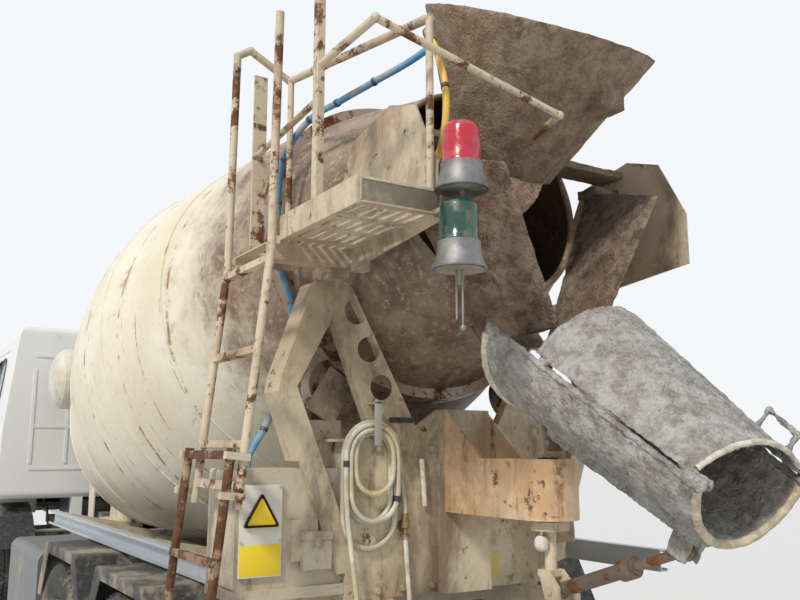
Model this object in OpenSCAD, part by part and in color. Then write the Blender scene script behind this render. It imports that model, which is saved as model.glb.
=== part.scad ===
// Three-axle concrete mixer truck. X points forward to the cab, Y to the left, Z up, with the ground at zero.
// Places along X are measured from the upright pivot of the discharge chute, and from_pivot() moves the
// whole truck so that the origin is on the ground under the middle of its length.

/* [Chassis] */
// Bumper face ahead of the chute pivot
front_x = 8120; // [7900:10:8500]
// Rear end of the frame rails ahead of the chute pivot
frame_tail_x = 240; // [200:10:300]
// Outer width over the two frame rails
frame_w = 860; // [800:10:900]
// Height of a frame rail
rail_h = 270; // [240:10:300]
// Top of the frame rails above the ground
frame_top_z = 980; // [960:5:1000]
// Plate thickness of the frame rails
rail_t = 9; // [7:1:12]
// Flange width of the frame rails
rail_flange = 80; // [70:5:90]

/* [Axles and wheels] */
// Steered axle ahead of the chute pivot
front_axle_x = 6750; // [6700:10:6800]
// First driven axle ahead of the chute pivot
mid_axle_x = 2950; // [2900:10:3000]
// Spacing of the two driven axles
bogie_pitch = 1350; // [1320:10:1400]
// Tyre diameter
tyre_d = 1040; // [1000:10:1060]
// Width of one tyre
tyre_w = 300; // [280:5:310]
// Rim diameter under the tyre bead
rim_d = 572; // [560:2:580]
// Tyre centre of a steered wheel from the truck's centre line
front_track = 1030; // [1015:5:1040]
// Middle of a twin wheel from the truck's centre line
rear_track = 925; // [915:5:935]
// Distance between the two tyres' centres of a twin wheel
twin_pitch = 330; // [325:5:340]
// Steering pin from the truck's centre line
kingpin_y = 850; // [840:5:860]
// Depth of the tread blocks
lug_depth = 14; // [10:1:16]

/* [Drum] */
// Tilt of the drum's axis
drum_tilt = 12; // [11:0.5:13]
// Largest radius of the drum
drum_r = 1170; // [1140:10:1180]
// Wall thickness of the drum
drum_wall = 8; // [6:1:12]
// Height of the drum's axis at its widest place
drum_mid_z = 2250; // [2230:10:2270]
// Widest place of the drum ahead of the chute pivot
drum_mid_x = 3100; // [3050:10:3150]
// Radius of the drum's mouth
mouth_r = 500; // [470:10:520]
// Radius of the roller track
track_r = 790; // [780:5:800]
// Width of the roller track
track_w = 90; // [80:5:100]
// Roller track ahead of the chute pivot
track_x = 1000; // [980:5:1020]
// Radius of a support roller
roller_r = 125; // [115:5:135]

/* [Cab] */
// Outer width of the cab
cab_w = 2300; // [2260:10:2340]
// Rear wall of the cab ahead of the chute pivot
cab_rear_x = 6350; // [6320:10:6380]
// Height of the cab's roof
cab_roof_z = 2880; // [2840:10:2920]
// Underside of the cab
cab_floor_z = 1230; // [1215:5:1245]
// Wall thickness of the cab and its doors
cab_wall = 45; // [35:5:55]
// Running gap round a door
door_gap = 7; // [6:1:10]

/* [Discharge] */
// Swivel arm's underside above the ground
arm_z = 1430; // [1420:5:1440]
// Height of the swivel arm
arm_h = 230; // [210:5:250]
// Width of the swivel arm
arm_w = 230; // [200:5:250]
// Height of the chute's lift pin
lift_z = 1765; // [1755:1:1780]
// Slope of the chute as parked
chute_slope = 27; // [22:1:30]
// Length of the chute below its lift pin
chute_len = 900; // [860:10:930]
// Radius of the chute at its mouth
chute_r = 340; // [320:5:360]
// Radius of the chute at its lower end
chute_end_r = 255; // [245:5:270]
// Plate thickness of the chute, hopper and collector
chute_t = 6; // [5:1:8]
// Play of a pin in its eye, on the radius
pin_play = 0.05; // [0.02:0.01:0.08]

/* [Rear structure] */
// Rear face of the pedestal ahead of the chute pivot
pedestal_x = 600; // [590:5:620]
// Plate thickness of the pedestal
pedestal_t = 10; // [8:1:12]
// Lightening holes in the pedestal's struts
strut_hole_d = 110; // [90:10:120]
// Platform's outer edge from the centre line
deck_y = 1000; // [990:5:1010]
// Platform's floor above the ground
deck_z = 2500; // [2490:5:2510]
// Ladder pitch from rung to rung
rung_pitch = 350; // [330:5:360]
// Ladder tube diameter
ladder_d = 34; // [30:1:38]
// Spacing of the two ladder tubes
ladder_w = 460; // [440:5:470]

/* [Hidden] */
$fn = 48;

// Rearmost point of the truck is the corner of the fold hinge's ears at the chute's lower end
chute_rim_w = 390;
chute_rim_end_w = 270;
fold_u = chute_len + 22;
fold_w = chute_rim_end_w + 12;
ear_r = 20;
tail_x = -(fold_u + ear_r) * cos(chute_slope) - (fold_w + ear_r) * sin(chute_slope);
mid_x = (front_x + tail_x) / 2;
axle_z = tyre_d / 2;
rear_axle_x = mid_axle_x - bogie_pitch;
rail_bottom_z = frame_top_z - rail_h;
rail_front_x = front_x - 260;
bogie_x = (mid_axle_x + rear_axle_x) / 2;

module from_pivot() { translate([-mid_x, 0, 0]) children(); }

module both_sides() {
  children();
  mirror([0, 1, 0]) children();
}

// Round bar from one point to another
module rod(a, b, d) {
  v = b - a;
  length = norm(v);
  translate(a) rotate([0, acos(v.z / length), atan2(v.y, v.x)]) cylinder(d = d, h = length);
}

// Plate of thickness t standing in the XZ plane, centred on y
module plate_xz(points, y, t) {
  translate([0, y + t / 2, 0]) rotate([90, 0, 0]) linear_extrude(t) polygon(points);
}

// Plate of thickness t standing in the YZ plane, its rear face at x
module plate_yz(points, x, t) { translate([x, 0, 0]) rotate([90, 0, 90]) linear_extrude(t)
  polygon(points); }

// Box from its lowest corner to its highest
module block(low, high) { translate(low) cube(high - low); }

// Tank lying along Y with domed ends
module lying_tank(centre, r, length, dome) {
  translate(centre) rotate([90, 0, 0]) rotate_extrude() polygon(concat(
    [[0, -length / 2 - dome]],
    [for (a = [-75 : 15 : 0]) [r * cos(a), -length / 2 + dome * sin(a)]],
    [for (a = [0 : 15 : 75]) [r * cos(a), length / 2 + dome * sin(a)]],
    [[0, length / 2 + dome]]
  ));
}

module chassis_rail() {
  y1 = frame_w / 2;
  translate([frame_tail_x, 0, 0]) rotate([90, 0, 90]) linear_extrude(rail_front_x - frame_tail_x) polygon([
    [y1 - rail_flange, rail_bottom_z], [y1, rail_bottom_z], [y1, frame_top_z],
      [y1 - rail_flange, frame_top_z],
    [y1 - rail_flange, frame_top_z - rail_t], [y1 - rail_t, frame_top_z - rail_t],
    [y1 - rail_t, rail_bottom_z + rail_t], [y1 - rail_flange, rail_bottom_z + rail_t]
  ]);
}

// Cross members, with the place of each along X
cross_xs = [300, 1180, 2275, 3500, 4700, 5800, 7760];
cross_w = 90;
weld_bite = 1;
tow_bore_d = 42;
tow_jaw_gap = 70;
spring_y = frame_w / 2 - 40;
hanger_drop = 90;
front_spring_half = 720;

module cross_member(x) {
  inner = frame_w / 2 - rail_t + weld_bite;
  difference() {
    block([x, -inner, frame_top_z - 210], [x + cross_w, inner, frame_top_z - 40]);
    block([x + rail_t, -inner - 1, frame_top_z - 201], [x + cross_w + 1, inner + 1, frame_top_z - 49]);
  }
}

// Jaw and upright pin bore that the truck is towed or lifted by at the front
module tow_jaw() {
  x0 = rail_front_x - 20;
  z0 = frame_top_z - 260;
  difference() {
    block([x0 - 80, -75, z0], [x0 + 150, 75, z0 + 150]);
    block([x0 + 30, -76, z0 + 75 - tow_jaw_gap / 2], [x0 + 151, 76, z0 + 75 + tow_jaw_gap / 2]);
    translate([x0 + 95, 0, z0 - 1]) cylinder(d = tow_bore_d, h = 152);
  }
  inner = frame_w / 2 - rail_t + weld_bite;
  block([x0 - 80, -inner, z0], [x0 - 60, inner, z0 + 240]);
}

module spring_hanger(x) {
  both_sides() block([x - 45, spring_y - 35, rail_bottom_z - hanger_drop],
    [x + 45, spring_y + 35, rail_bottom_z]);
}

trunnion_pin_r = 34;
module chassis_frame() {
  color("dimgray") from_pivot() {
    both_sides() chassis_rail();
    for (x = cross_xs) cross_member(x);
    tow_jaw();
    for (dx = [-front_spring_half, front_spring_half]) spring_hanger(front_axle_x + dx);
    // Trunnion brackets that carry the driven axles' springs
    both_sides() difference() {
      plate_xz([
        [bogie_x - 190, rail_bottom_z + 60], [bogie_x - 90, axle_z - 60], [bogie_x + 90, axle_z - 60],
        [bogie_x + 190, rail_bottom_z + 60]
      ], frame_w / 2 + 8, 16);
      translate([bogie_x, frame_w / 2 + 8, axle_z]) rotate([90, 0, 0])
        cylinder(r = trunnion_pin_r, h = 20, center = true);
    }
    // Ears and pins that the cab tilts on
    both_sides() {
      plate_xz([[7740, 900], [7858, 900], [7884, 1050], [7816, 1050]], frame_w / 2 + 6, 14);
      translate([cab_pivot.x, frame_w / 2 + 6, cab_pivot.z]) rotate([90, 0, 0])
        cylinder(r = 34, h = 14, center = true);
      translate([cab_pivot.x, frame_w / 2 + 23, cab_pivot.z]) rotate([90, 0, 0])
        cylinder(r = 15, h = 48, center = true);
    }
  }
}

// Leaf spring pack, bent round one centre, with its middle at the origin and its ends up by the sag.
// Each leaf is a little narrower than the one above it
module leaf_pack(leaves, span, sag, t, w) {
  r = (span * span / 4 + sag * sag) / (2 * sag);
  full = 2 * asin(span / 2 / r);
  bite = 0.5;
  for (i = [0 : leaves - 1]) {
    a = full * (1 - i / (leaves + 0.6));
    translate([0, 0, r]) rotate([90, 0, 0]) rotate([0, 0, -90 - a / 2])
      rotate_extrude(angle = a, $fn = 720) translate([r + (i - 1) * t - bite, i - w / 2])
        square([t + bite, w - 2 * i]);
  }
}

knuckle_eye_r = 50;
knuckle_eye_h = 120;
kingpin_r = 22;
beam_drop = 90;

module front_axle() {
  spring_top = rail_bottom_z - hanger_drop;
  color("#3a3b3d") from_pivot() {
    difference() {
      union() {
        // Dropped forged beam between the steering pins' eyes
        plate_yz([
          [-kingpin_y, axle_z - 45], [-620, axle_z - 45], [-440, axle_z - 45 - beam_drop],
            [440, axle_z - 45 - beam_drop],
          [620, axle_z - 45], [kingpin_y, axle_z - 45], [kingpin_y, axle_z + 45], [600, axle_z + 45],
          [410, axle_z + 45 - beam_drop], [-410, axle_z + 45 - beam_drop], [-600, axle_z + 45],
            [-kingpin_y, axle_z + 45]
        ], front_axle_x - 22, 44);
        // Spring seats
        both_sides() block([front_axle_x - 90, spring_y - 50, axle_z + 40 - beam_drop],
          [front_axle_x + 90, spring_y + 50, axle_z + 62 - beam_drop]);
        both_sides() translate([front_axle_x, kingpin_y, axle_z - knuckle_eye_h / 2])
          cylinder(r = knuckle_eye_r, h = knuckle_eye_h);
      }
      both_sides() translate([front_axle_x, kingpin_y, axle_z - knuckle_eye_h / 2 - 1])
        cylinder(r = kingpin_r + pin_play, h = knuckle_eye_h + 2);
    }
    // Leaf springs, shackled to the hangers under the rails
    spring_z = axle_z + 62 - beam_drop + 3 * 16;
    both_sides() translate([front_axle_x, spring_y, spring_z])
      leaf_pack(4, 2 * front_spring_half, spring_top - spring_z - 22, 16, 64);
    both_sides() for (dx = [-front_spring_half, front_spring_half])
      translate([front_axle_x + dx, spring_y, spring_top - 20]) {
        rotate([90, 0, 0]) cylinder(r = 20, h = 66, center = true);
        block([-20, -33, 0], [20, 33, 20]);
      }
  }
}

spindle_r = 45;
module drive_axle(x) {
  translate([x, 0, axle_z]) {
    rotate([90, 0, 0]) cylinder(r = 75, h = 2 * (rear_track - 150), center = true);
    rotate([90, 0, 0]) cylinder(r = spindle_r, h = 2 * (rear_track + 130), center = true);
    // Banjo housing and the nose of the crown wheel's case
    rotate([90, 0, 0]) rotate_extrude() polygon([
      [0, -150], [110, -150], [205, -60], [205, 60], [110, 150], [0, 150]
    ]);
    rotate([0, 90, 0]) cylinder(r1 = 150, r2 = 75, h = 330);
    both_sides() block([-60, spring_y - 45, -70], [60, spring_y + 45, 162]);
  }
}

module drive_axles() {
  color("#34353a") from_pivot() {
    for (x = [mid_axle_x, rear_axle_x]) drive_axle(x);
    // Leaf packs that rest on both axles and turn on the trunnion between them
    both_sides() translate([bogie_x, spring_y, axle_z + 128]) leaf_pack(5, bogie_pitch + 130, 40, 14, 76);
    both_sides() translate([bogie_x, 0, axle_z]) rotate([-90, 0, 0]) {
      translate([0, 0, frame_w / 2 - 79]) cylinder(r = 66, h = 79);
      translate([-75, -74, frame_w / 2 - 74]) cube([150, 74, 68]);
      translate([0, 0, frame_w / 2 - 2]) cylinder(r = trunnion_pin_r, h = 22);
    }
    // Shafts between the axles and on towards the engine
    rod([rear_axle_x + 330, 0, axle_z], [mid_axle_x - 150, 0, axle_z], 80);
    rod([mid_axle_x + 330, 0, axle_z], [6276, 0, 745], 90);
    translate([6268, 0, 745]) rotate([0, 90, 0]) cylinder(r = 62, h = 22);
  }
}

module engine_block() {
  color("#55585a") from_pivot() {
    block([6800, -340, 640], [7680, 340, 1190]);
    block([6290, -200, 700], [6800, 200, 1080]);
    // Mounts on the rails
    for (x = [6960, 7540]) both_sides() block([x, 335, 800], [x + 120, frame_w / 2 - rail_t, 880]);
  }
}

stub_r = 38;
knuckle_plate_y = kingpin_y + knuckle_eye_r + 6;

module knuckle() {
  translate([front_axle_x, 0, axle_z]) {
    translate([0, kingpin_y, -knuckle_eye_h / 2 - 45]) cylinder(r = kingpin_r, h = knuckle_eye_h + 90);
    for (s = [-1, 1]) {
      z0 = s > 0 ? knuckle_eye_h / 2 + 6 : -knuckle_eye_h / 2 - 46;
      block([-42, kingpin_y - 42, z0], [42, knuckle_plate_y + 22, z0 + 40]);
    }
    block([-60, knuckle_plate_y, -knuckle_eye_h / 2 - 46],
      [60, knuckle_plate_y + 22, knuckle_eye_h / 2 + 46]);
    translate([0, knuckle_plate_y + 10, 0]) rotate([-90, 0, 0])
      cylinder(r = stub_r, h = front_track + 52 - knuckle_plate_y);
    // Steering arm towards the track rod
    block([-230, kingpin_y - 30, -knuckle_eye_h / 2 - 46], [-40, kingpin_y + 20, -knuckle_eye_h / 2 - 14]);
  }
}
module knuckle_left() { color("#3a3b3d") from_pivot() knuckle(); }
module knuckle_right() { color("#3a3b3d") from_pivot() mirror([0, 1, 0]) knuckle(); }

// A tyre's section from bead to bead, turned about the wheel's axis
module tyre(y) {
  r = tyre_d / 2;
  bead = rim_d / 2 + 1;
  w = tyre_w / 2;
  groove = 4;
  translate([0, y, 0]) rotate([-90, 0, 0]) rotate_extrude($fn = 72) difference() {
    polygon([
      [bead, -w + 45], [bead + 30, -w + 20], [bead + 95, -w], [r - 70, -w + 2], [r - 26, -w + 16],
        [r - 8, -w + 34],
      [r, -w + 52], [r, w - 52], [r - 8, w - 34], [r - 26, w - 16], [r - 70, w - 2], [bead + 95, w],
      [bead + 30, w - 20], [bead, w - 45]
    ]);
    for (h = [-55, 0, 55]) translate([r - lug_depth, h - groove]) square([lug_depth + 1, 2 * groove]);
  }
}

// A pressed wheel: barrel, flanges and a disc at height disc_y, with its hand holes
module rim(y, disc_y) {
  r = rim_d / 2;
  w = tyre_w / 2;
  translate([0, y, 0]) rotate([-90, 0, 0]) difference() {
    rotate_extrude($fn = 72) polygon([
      [r + 14, -w + 26], [r + 14, -w + 38], [r, -w + 44], [r, w - 44], [r + 14, w - 38], [r + 14, w - 26],
      [r - 12, w - 40], [r - 14, disc_y + 8], [150, disc_y + 8], [110, disc_y + 8], [110, disc_y - 6],
      [150, disc_y - 6], [r - 14, disc_y - 6], [r - 12, -w + 40]
    ]);
    for (a = [18 : 36 : 342]) rotate([0, 0, a]) translate([218, 0, disc_y - 10])
      cylinder(d = 54, h = 22, $fn = 32);
  }
}

// Hub turned about the axle, its inner end at y0 and its outer end at y1, over a spindle of radius r_in
module hub(r_in, y0, y1, depth) {
  difference() {
    union() {
      translate([0, y0, 0]) rotate([-90, 0, 0]) cylinder(r = 112, h = y1 - y0 - 50);
      translate([0, y1 - 55, 0]) rotate([-90, 0, 0]) cylinder(r1 = 90, r2 = 78, h = 55);
    }
    translate([0, y0 - 1, 0]) rotate([-90, 0, 0]) cylinder(r = r_in + pin_play, h = depth + 1);
  }
}

front_disc_y = 70;
module wheel_spot(x, y, side) {
  from_pivot() mirror([0, side < 0 ? 1 : 0, 0]) translate([x, y, axle_z]) children();
}
module front_tyre(side) { color("#26272a") wheel_spot(front_axle_x, front_track, side) tyre(0); }
module front_rim(side) {
  color("#c9c6bf") wheel_spot(front_axle_x, front_track, side) {
    rim(0, front_disc_y);
    hub(stub_r, knuckle_plate_y + 22 + 8 - front_track, front_disc_y + 95, 160);
    // Brake drum behind the disc
    translate([0, -70, 0]) rotate([-90, 0, 0]) difference() {
      cylinder(r = 205, h = 90);
      translate([0, 0, -1]) cylinder(r = 190, h = 79);
      translate([0, 0, -1]) cylinder(r = 100, h = 100);
    }
  }
}
module front_tyre_left() { front_tyre(1); }
module front_tyre_right() { front_tyre(-1); }
module front_rim_left() { front_rim(1); }
module front_rim_right() { front_rim(-1); }

module twin_tyres(x, side) {
  color("#26272a") wheel_spot(x, rear_track, side) for (s = [-1, 1]) tyre(s * twin_pitch / 2);
}
module twin_rims(x, side) {
  color("#b9b4aa") wheel_spot(x, rear_track, side) {
    for (s = [-1, 1]) rim(s * twin_pitch / 2, -s * (twin_pitch / 2 - 8));
    hub(spindle_r, -140, 190, 290);
  }
}
module mid_tyres_left() { twin_tyres(mid_axle_x, 1); }
module mid_tyres_right() { twin_tyres(mid_axle_x, -1); }
module mid_rims_left() { twin_rims(mid_axle_x, 1); }
module mid_rims_right() { twin_rims(mid_axle_x, -1); }
module rear_tyres_left() { twin_tyres(rear_axle_x, 1); }
module rear_tyres_right() { twin_tyres(rear_axle_x, -1); }
module rear_rims_left() { twin_rims(rear_axle_x, 1); }
module rear_rims_right() { twin_rims(rear_axle_x, -1); }

// Drum axis: local Z runs backwards and up, local X points up
module on_drum_axis() { translate([drum_mid_x, 0, drum_mid_z]) rotate([0, drum_tilt - 90, 0]) children(); }

track_s = (drum_mid_x - track_x) / cos(drum_tilt);
mouth_s = 2810;
nose_s = -2010;
// Outer radius of the shell along the drum's axis: [place, radius]
shell_profile = [
  [nose_s, 240], [nose_s + 20, 480], [-1940, 660], [-1860, 770], [-1720, 840], [-1500, 895],
    [-560, drum_r - 85],
  [-200, drum_r - 20], [100, drum_r], [300, drum_r], [560, drum_r - 22], [track_s - 260, track_r + 60],
  [track_s + 200, track_r - 105], [mouth_s, mouth_r]
];
function shell_r(s) = lookup(s, shell_profile);

module drum_shell() {
  inner = [for (i = [len(shell_profile) - 1 : -1 : 1])
    [shell_profile[i][1] - drum_wall, shell_profile[i][0] + (i < 6 ? drum_wall : 0)]];
  color("#e6dfcd") from_pivot() on_drum_axis() {
    rotate_extrude($fn = 120) polygon(concat(
      [[0, nose_s], [240, nose_s]],
      [for (i = [1 : len(shell_profile) - 1]) [shell_profile[i][1], shell_profile[i][0]]],
      inner, [[0, nose_s + 20 + drum_wall]]
    ));
    // Rolled lip of the mouth
    translate([0, 0, mouth_s - 12]) rotate_extrude($fn = 120) translate([mouth_r - 4, 0])
      circle(r = 16, $fn = 24);
  }
}

ring_play = 0.3;
module roller_track() {
  s0 = track_s - track_w / 2;
  s1 = track_s + track_w / 2;
  color("#7a4433") from_pivot() on_drum_axis() rotate_extrude($fn = 120) polygon([
    [shell_r(s0) + ring_play, s0], [track_r, s0], [track_r, s1], [shell_r(s1) + ring_play, s1]
  ]);
}

roller_gap = 0.3;
roller_angle = 35;
roller_len = 110;
roller_pin_r = 30;
// Puts its children on a support roller's axis, on the left side of the truck
module at_roller() {
  on_drum_axis() rotate([0, 0, 180 - roller_angle]) translate([track_r + roller_gap + roller_r, 0,
    track_s]) children();
}
module roller() {
  at_roller() difference() {
    rotate_extrude() polygon([
      [0, -roller_len / 2], [70, -roller_len / 2], [80, -roller_len / 2 + 14],
        [roller_r, -roller_len / 2 + 14],
      [roller_r, roller_len / 2 - 14], [80, roller_len / 2 - 14], [70, roller_len / 2], [0, roller_len / 2]
    ]);
    cylinder(r = roller_pin_r + pin_play, h = roller_len + 2, center = true);
  }
}
module roller_left() { color("#8d8a84") from_pivot() roller(); }
module roller_right() { color("#8d8a84") from_pivot() mirror([0, 1, 0]) roller(); }

sub_rail_h = 100;
sub_rail_w = 90;
sub_rail_y = frame_w / 2 - sub_rail_w;
sub_top_z = frame_top_z + sub_rail_h;
front_pedestal_x = 5180;

module sub_frame() {
  color("#d8d0bd") from_pivot() {
    both_sides() block([frame_tail_x + 60, sub_rail_y, frame_top_z],
      [front_pedestal_x + 380, frame_w / 2, sub_top_z]);
    for (x = [900, 2100, 3300, 4500]) block([x, -sub_rail_y, frame_top_z],
      [x + 80, sub_rail_y, sub_top_z - 60]);
    // Outriggers that carry the side rails, and the gussets and pads seen below the drum
    both_sides() for (x = outrigger_xs) plate_yz([
      [frame_w / 2, frame_top_z + 30], [side_rail_y, side_rail_z],
        [side_rail_y, side_rail_z + side_rail_h - 6],
      [frame_w / 2 - 20, sub_top_z + 40], [frame_w / 2 - 20, frame_top_z + 30]
    ], x, 14);
    both_sides() for (x = [1300, 2450]) plate_xz([
      [x - 170, sub_top_z - 5], [x + 170, sub_top_z - 5], [x + 50, sub_top_z + 150],
        [x - 30, sub_top_z + 150]
    ], frame_w / 2 - 30, 24);
    both_sides() for (x = [1500, 1900]) block([x, sub_rail_y - 20, sub_top_z - 5],
      [x + 160, frame_w / 2, sub_top_z + 90]);
  }
}

side_rail_y = 940;
side_rail_h = 100;
side_rail_front_x = 4650;
side_rail_z = 1132;
side_rail_starts = [940, 300];
outrigger_xs = [938, 2268, 3700, 4480];
module side_rails() {
  z0 = side_rail_z;
  color("#b9c2c9") from_pivot() for (side = [0, 1]) mirror([0, side, 0]) {
    translate([side_rail_starts[side], side_rail_y, z0]) rotate([90, 0, 90])
      linear_extrude(side_rail_front_x - side_rail_starts[side]) polygon([
        [0, 0], [48, 0], [48, 14], [42, 14], [42, 6], [6, 6], [6, side_rail_h - 6], [42, side_rail_h - 6],
        [42, side_rail_h - 14], [48, side_rail_h - 14], [48, side_rail_h], [0, side_rail_h]
      ]);
    for (x = outrigger_xs) block([x + 14.3, side_rail_y - 60, z0 + 12],
      [x + 30, side_rail_y, z0 + side_rail_h - 12]);
  }
}

// Front pedestal: a fabricated stand with the drum's gearbox and its oil pump
gearbox_s = nose_s - 0.3;
module front_pedestal() {
  x0 = front_pedestal_x;
  color("#cfc7b4") from_pivot() {
    both_sides() plate_xz([
      [x0 - 330, sub_top_z], [x0 + 380, sub_top_z], [x0 + 250, 1700], [x0 + 120, 2010], [x0 - 60, 2010],
        [x0 - 150, 1560]
    ], 300, 16);
    difference() {
      block([x0 - 60, -292, sub_top_z], [x0 - 44, 292, 1990]);
      translate([x0 - 61, 0, 1830]) rotate([0, 90, 0]) cylinder(r = 190, h = 20);
    }
    block([x0 + 100, -292, sub_top_z], [x0 + 116, 292, 1990]);
    block([x0 - 60, -308, 1990], [x0 + 116, 308, 2010]);
    both_sides() block([x0 - 330, 260, sub_top_z], [x0 + 380, 400, sub_top_z + 16]);
    // Gearbox between the stand and the drum's flange
    on_drum_axis() {
      translate([0, 0, gearbox_s - 70]) cylinder(r = 215, h = 70);
      translate([0, 0, gearbox_s - 320]) cylinder(r1 = 165, r2 = 200, h = 260);
      translate([0, 0, gearbox_s - 520]) cylinder(r = 90, h = 210);
    }
  }
}

// Outline of the pedestal's upper side member, seen from behind
kite = [[555, 1200], [600, 1200], [870, 1930], [865, 1975], [715, 2390], [640, 2420], [560, 2400],
  [800, 1950], [520, 1250]];
kite_split = kite[1] + (kite[2] - kite[1]) * 0.62;
strut = [[700, 2400], [560, 2385], [200, 1735], [430, 1735]];
strut_holes = [[530, 2280], [465, 2120], [400, 1960]];
box_top_z = 1740;
box_half = 570;
box_depth = 330;

module roller_bracket() {
  // Two cheeks that hold the roller's pin, on a pad of the pedestal's shelf
  at_roller() {
    for (s = [-1, 1]) translate([-50, -70, s * (roller_len / 2 + 14) - 8]) cube([225, 140, 16]);
    cylinder(r = roller_pin_r, h = roller_len + 70, center = true);
  }
  block([730, 530, box_top_z - 6], [950, 690, box_top_z + 80]);
}

module rear_pedestal() {
  x0 = pedestal_x;
  color("#cbbfa6") from_pivot() {
    both_sides() {
      plate_yz(kite, x0, pedestal_t);
      // Kite flange, standing forward from the web's outer edge
      plate_band([for (i = [1 : 4]) kite[i]], x0, 27, 12, 1.5);
      plate_band([kite_split, kite[2], kite[3], kite[4]], x0 + 6, 144, 13, 2);
      // Strut with lightening holes
      difference() {
        plate_yz(strut, x0 + 2, pedestal_t);
        for (h = strut_holes) translate([x0 - 1, h.x, h.y]) rotate([0, 90, 0])
          cylinder(d = strut_hole_d, h = 20);
      }
      for (i = [1, 3]) plate_band([strut[i], strut[(i + 1) % 4]], x0 + 2, 50, 10, 2);
      roller_bracket();
      // Legs down to the subframe
      block([x0, frame_w / 2 - 90, sub_top_z], [x0 + 300, frame_w / 2 + 14, 1200]);
      // Saddle under the platform's cross beam
      block([deck_side_front_x + 10, deck_in_y - 6, 2395], [x0 + 6, 700, 2425]);
    }
    // Shelf and lower box between the two sides
    block([x0, -620, box_top_z - 12], [x0 + box_depth + 60, 620, box_top_z]);
    block([x0, -box_half, 1090], [x0 + 12, box_half, box_top_z - 6]);
    both_sides() block([x0, box_half - 12, 1090], [x0 + box_depth, box_half, box_top_z - 6]);
    block([x0 + box_depth - 12, -box_half, 1150], [x0 + box_depth, box_half, box_top_z - 6]);
    // Centre column behind the box, which the swivel arm is welded to
    block([x0 - 60, -130, 1090], [x0 + 2, 110, 1870]);
    plate_yz([[-130, 1870], [110, 1870], [330, box_top_z - 4], [-350, box_top_z - 4]], x0 + 2, 12);
    // Spare chute panel stowed on edge on the right
    plate_xz([[400, 1290], [x0 + 2, 1250], [x0 + 2, 1690], [420, 1650]], -500, 8);
  }
}

// Narrow plate on edge along a path in the YZ plane. Its inner face is set into what lies left of the path
function left_of(a, b) = let (v = b - a) [-v.y, v.x] / norm(v);
function mitre(p, i, d) = let (
  last = len(p) - 1,
  n = left_of(p[max(i - 1, 0)], p[max(i, 1)]) + left_of(p[min(i, last - 1)], p[min(i + 1, last)])
) p[i] + n * (2 * d / (n * n));
module plate_band(p, x, depth, t, inset) {
  last = len(p) - 1;
  translate([x, 0, 0]) rotate([90, 0, 90]) linear_extrude(depth)
    polygon(concat([for (i = [0 : last]) mitre(p, i, inset)],
      [for (i = [last : -1 : 0]) mitre(p, i, inset - t)]));
}

arm_end_x = 0;
swivel_pin_r = 40;
swivel_boss_r = 105;
module swivel_arm() {
  z1 = arm_z + arm_h;
  color("#cdbb9d") from_pivot() {
    difference() {
      union() {
        block([arm_end_x, -arm_w / 2, arm_z], [pedestal_x - 60, arm_w / 2, z1]);
        translate([arm_end_x, 0, arm_z]) cylinder(r = arm_w / 2, h = arm_h);
      }
      translate([arm_end_x, 0, arm_z - 1]) cylinder(r = swivel_pin_r + pin_play, h = arm_h + 2);
    }
    // Gussets from the column down onto the arm
    for (y = [-arm_w / 2, arm_w / 2 - 12]) plate_xz([
      [pedestal_x - 60, z1 - 2], [pedestal_x - 320, z1 - 2], [pedestal_x - 60, z1 + 210]
    ], y + 6, 12);
  }
}

// Funnel that the concrete is loaded through, leaning back over the drum's mouth
hopper_top = [-20, 0, 3430];
hopper_throat = [250, 0, 2900];
hopper_r = 495;
throat_r = 215;
hopper_axis = hopper_top - hopper_throat;
hopper_h = norm(hopper_axis);
hopper_lean = atan2(-hopper_axis.x, hopper_axis.z);

module hopper_solid(grow) {
  translate(hopper_throat) rotate([0, -hopper_lean, 0]) {
    translate([0, 0, grow < 0 ? -1 : 0]) cylinder(r1 = throat_r + grow, r2 = hopper_r + grow,
      h = hopper_h + (grow < 0 ? 2 : 0), $fn = 72);
  }
}
module hopper_spout(grow) {
  translate(hopper_throat) rotate([0, 65, 0]) translate([0, 0, -40 + grow])
    cylinder(r = throat_r + grow, h = 330, $fn = 72);
}
module charge_hopper() {
  color("#a8967c") from_pivot() {
    difference() {
      union() {
        hopper_solid(0);
        hopper_spout(0);
        // Hinge lugs at the back of the funnel
        block([-330, -160, 3020], [-60, -40, 3150]);
        // Brackets out to the platform's side plates
        both_sides() block([150, 225, 2950], [290, deck_in_y - 14, 2980]);
      }
      hopper_solid(-chute_t);
      hopper_spout(-chute_t);
    }
  }
}

// Collector that turns the discharged concrete down into the chute: a half funnel round the drum's mouth
collector_top = [[300, 560, 2900], [-260, 400, 2720]];
collector_low = [[180, 170, 2125], [-200, 110, 2150]];
module collector_half() {
  // Side plate as one slanting sheet, thick across Y
  points = [collector_top[0], collector_top[1], collector_low[1], collector_low[0]];
  hull() for (p = points) translate(p) sphere(r = chute_t, $fn = 8);
}
module discharge_collector() {
  color("#8a6a52") from_pivot() {
    collector_half();
    mirror([0, 1, 0]) collector_half();
    // Front apron under the drum's mouth
    hull() {
      for (s = [-1, 1]) translate([collector_low[0].x, s * collector_low[0].y, collector_low[0].z])
        sphere(r = chute_t, $fn = 8);
      for (s = [-1, 1]) translate([250, s * 175, 2200]) sphere(r = chute_t, $fn = 8);
    }
    // Brackets on the pedestal's head
    both_sides() block([180, 500, 2860], [300, deck_in_y - 14, 2900]);
  }
}

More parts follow.
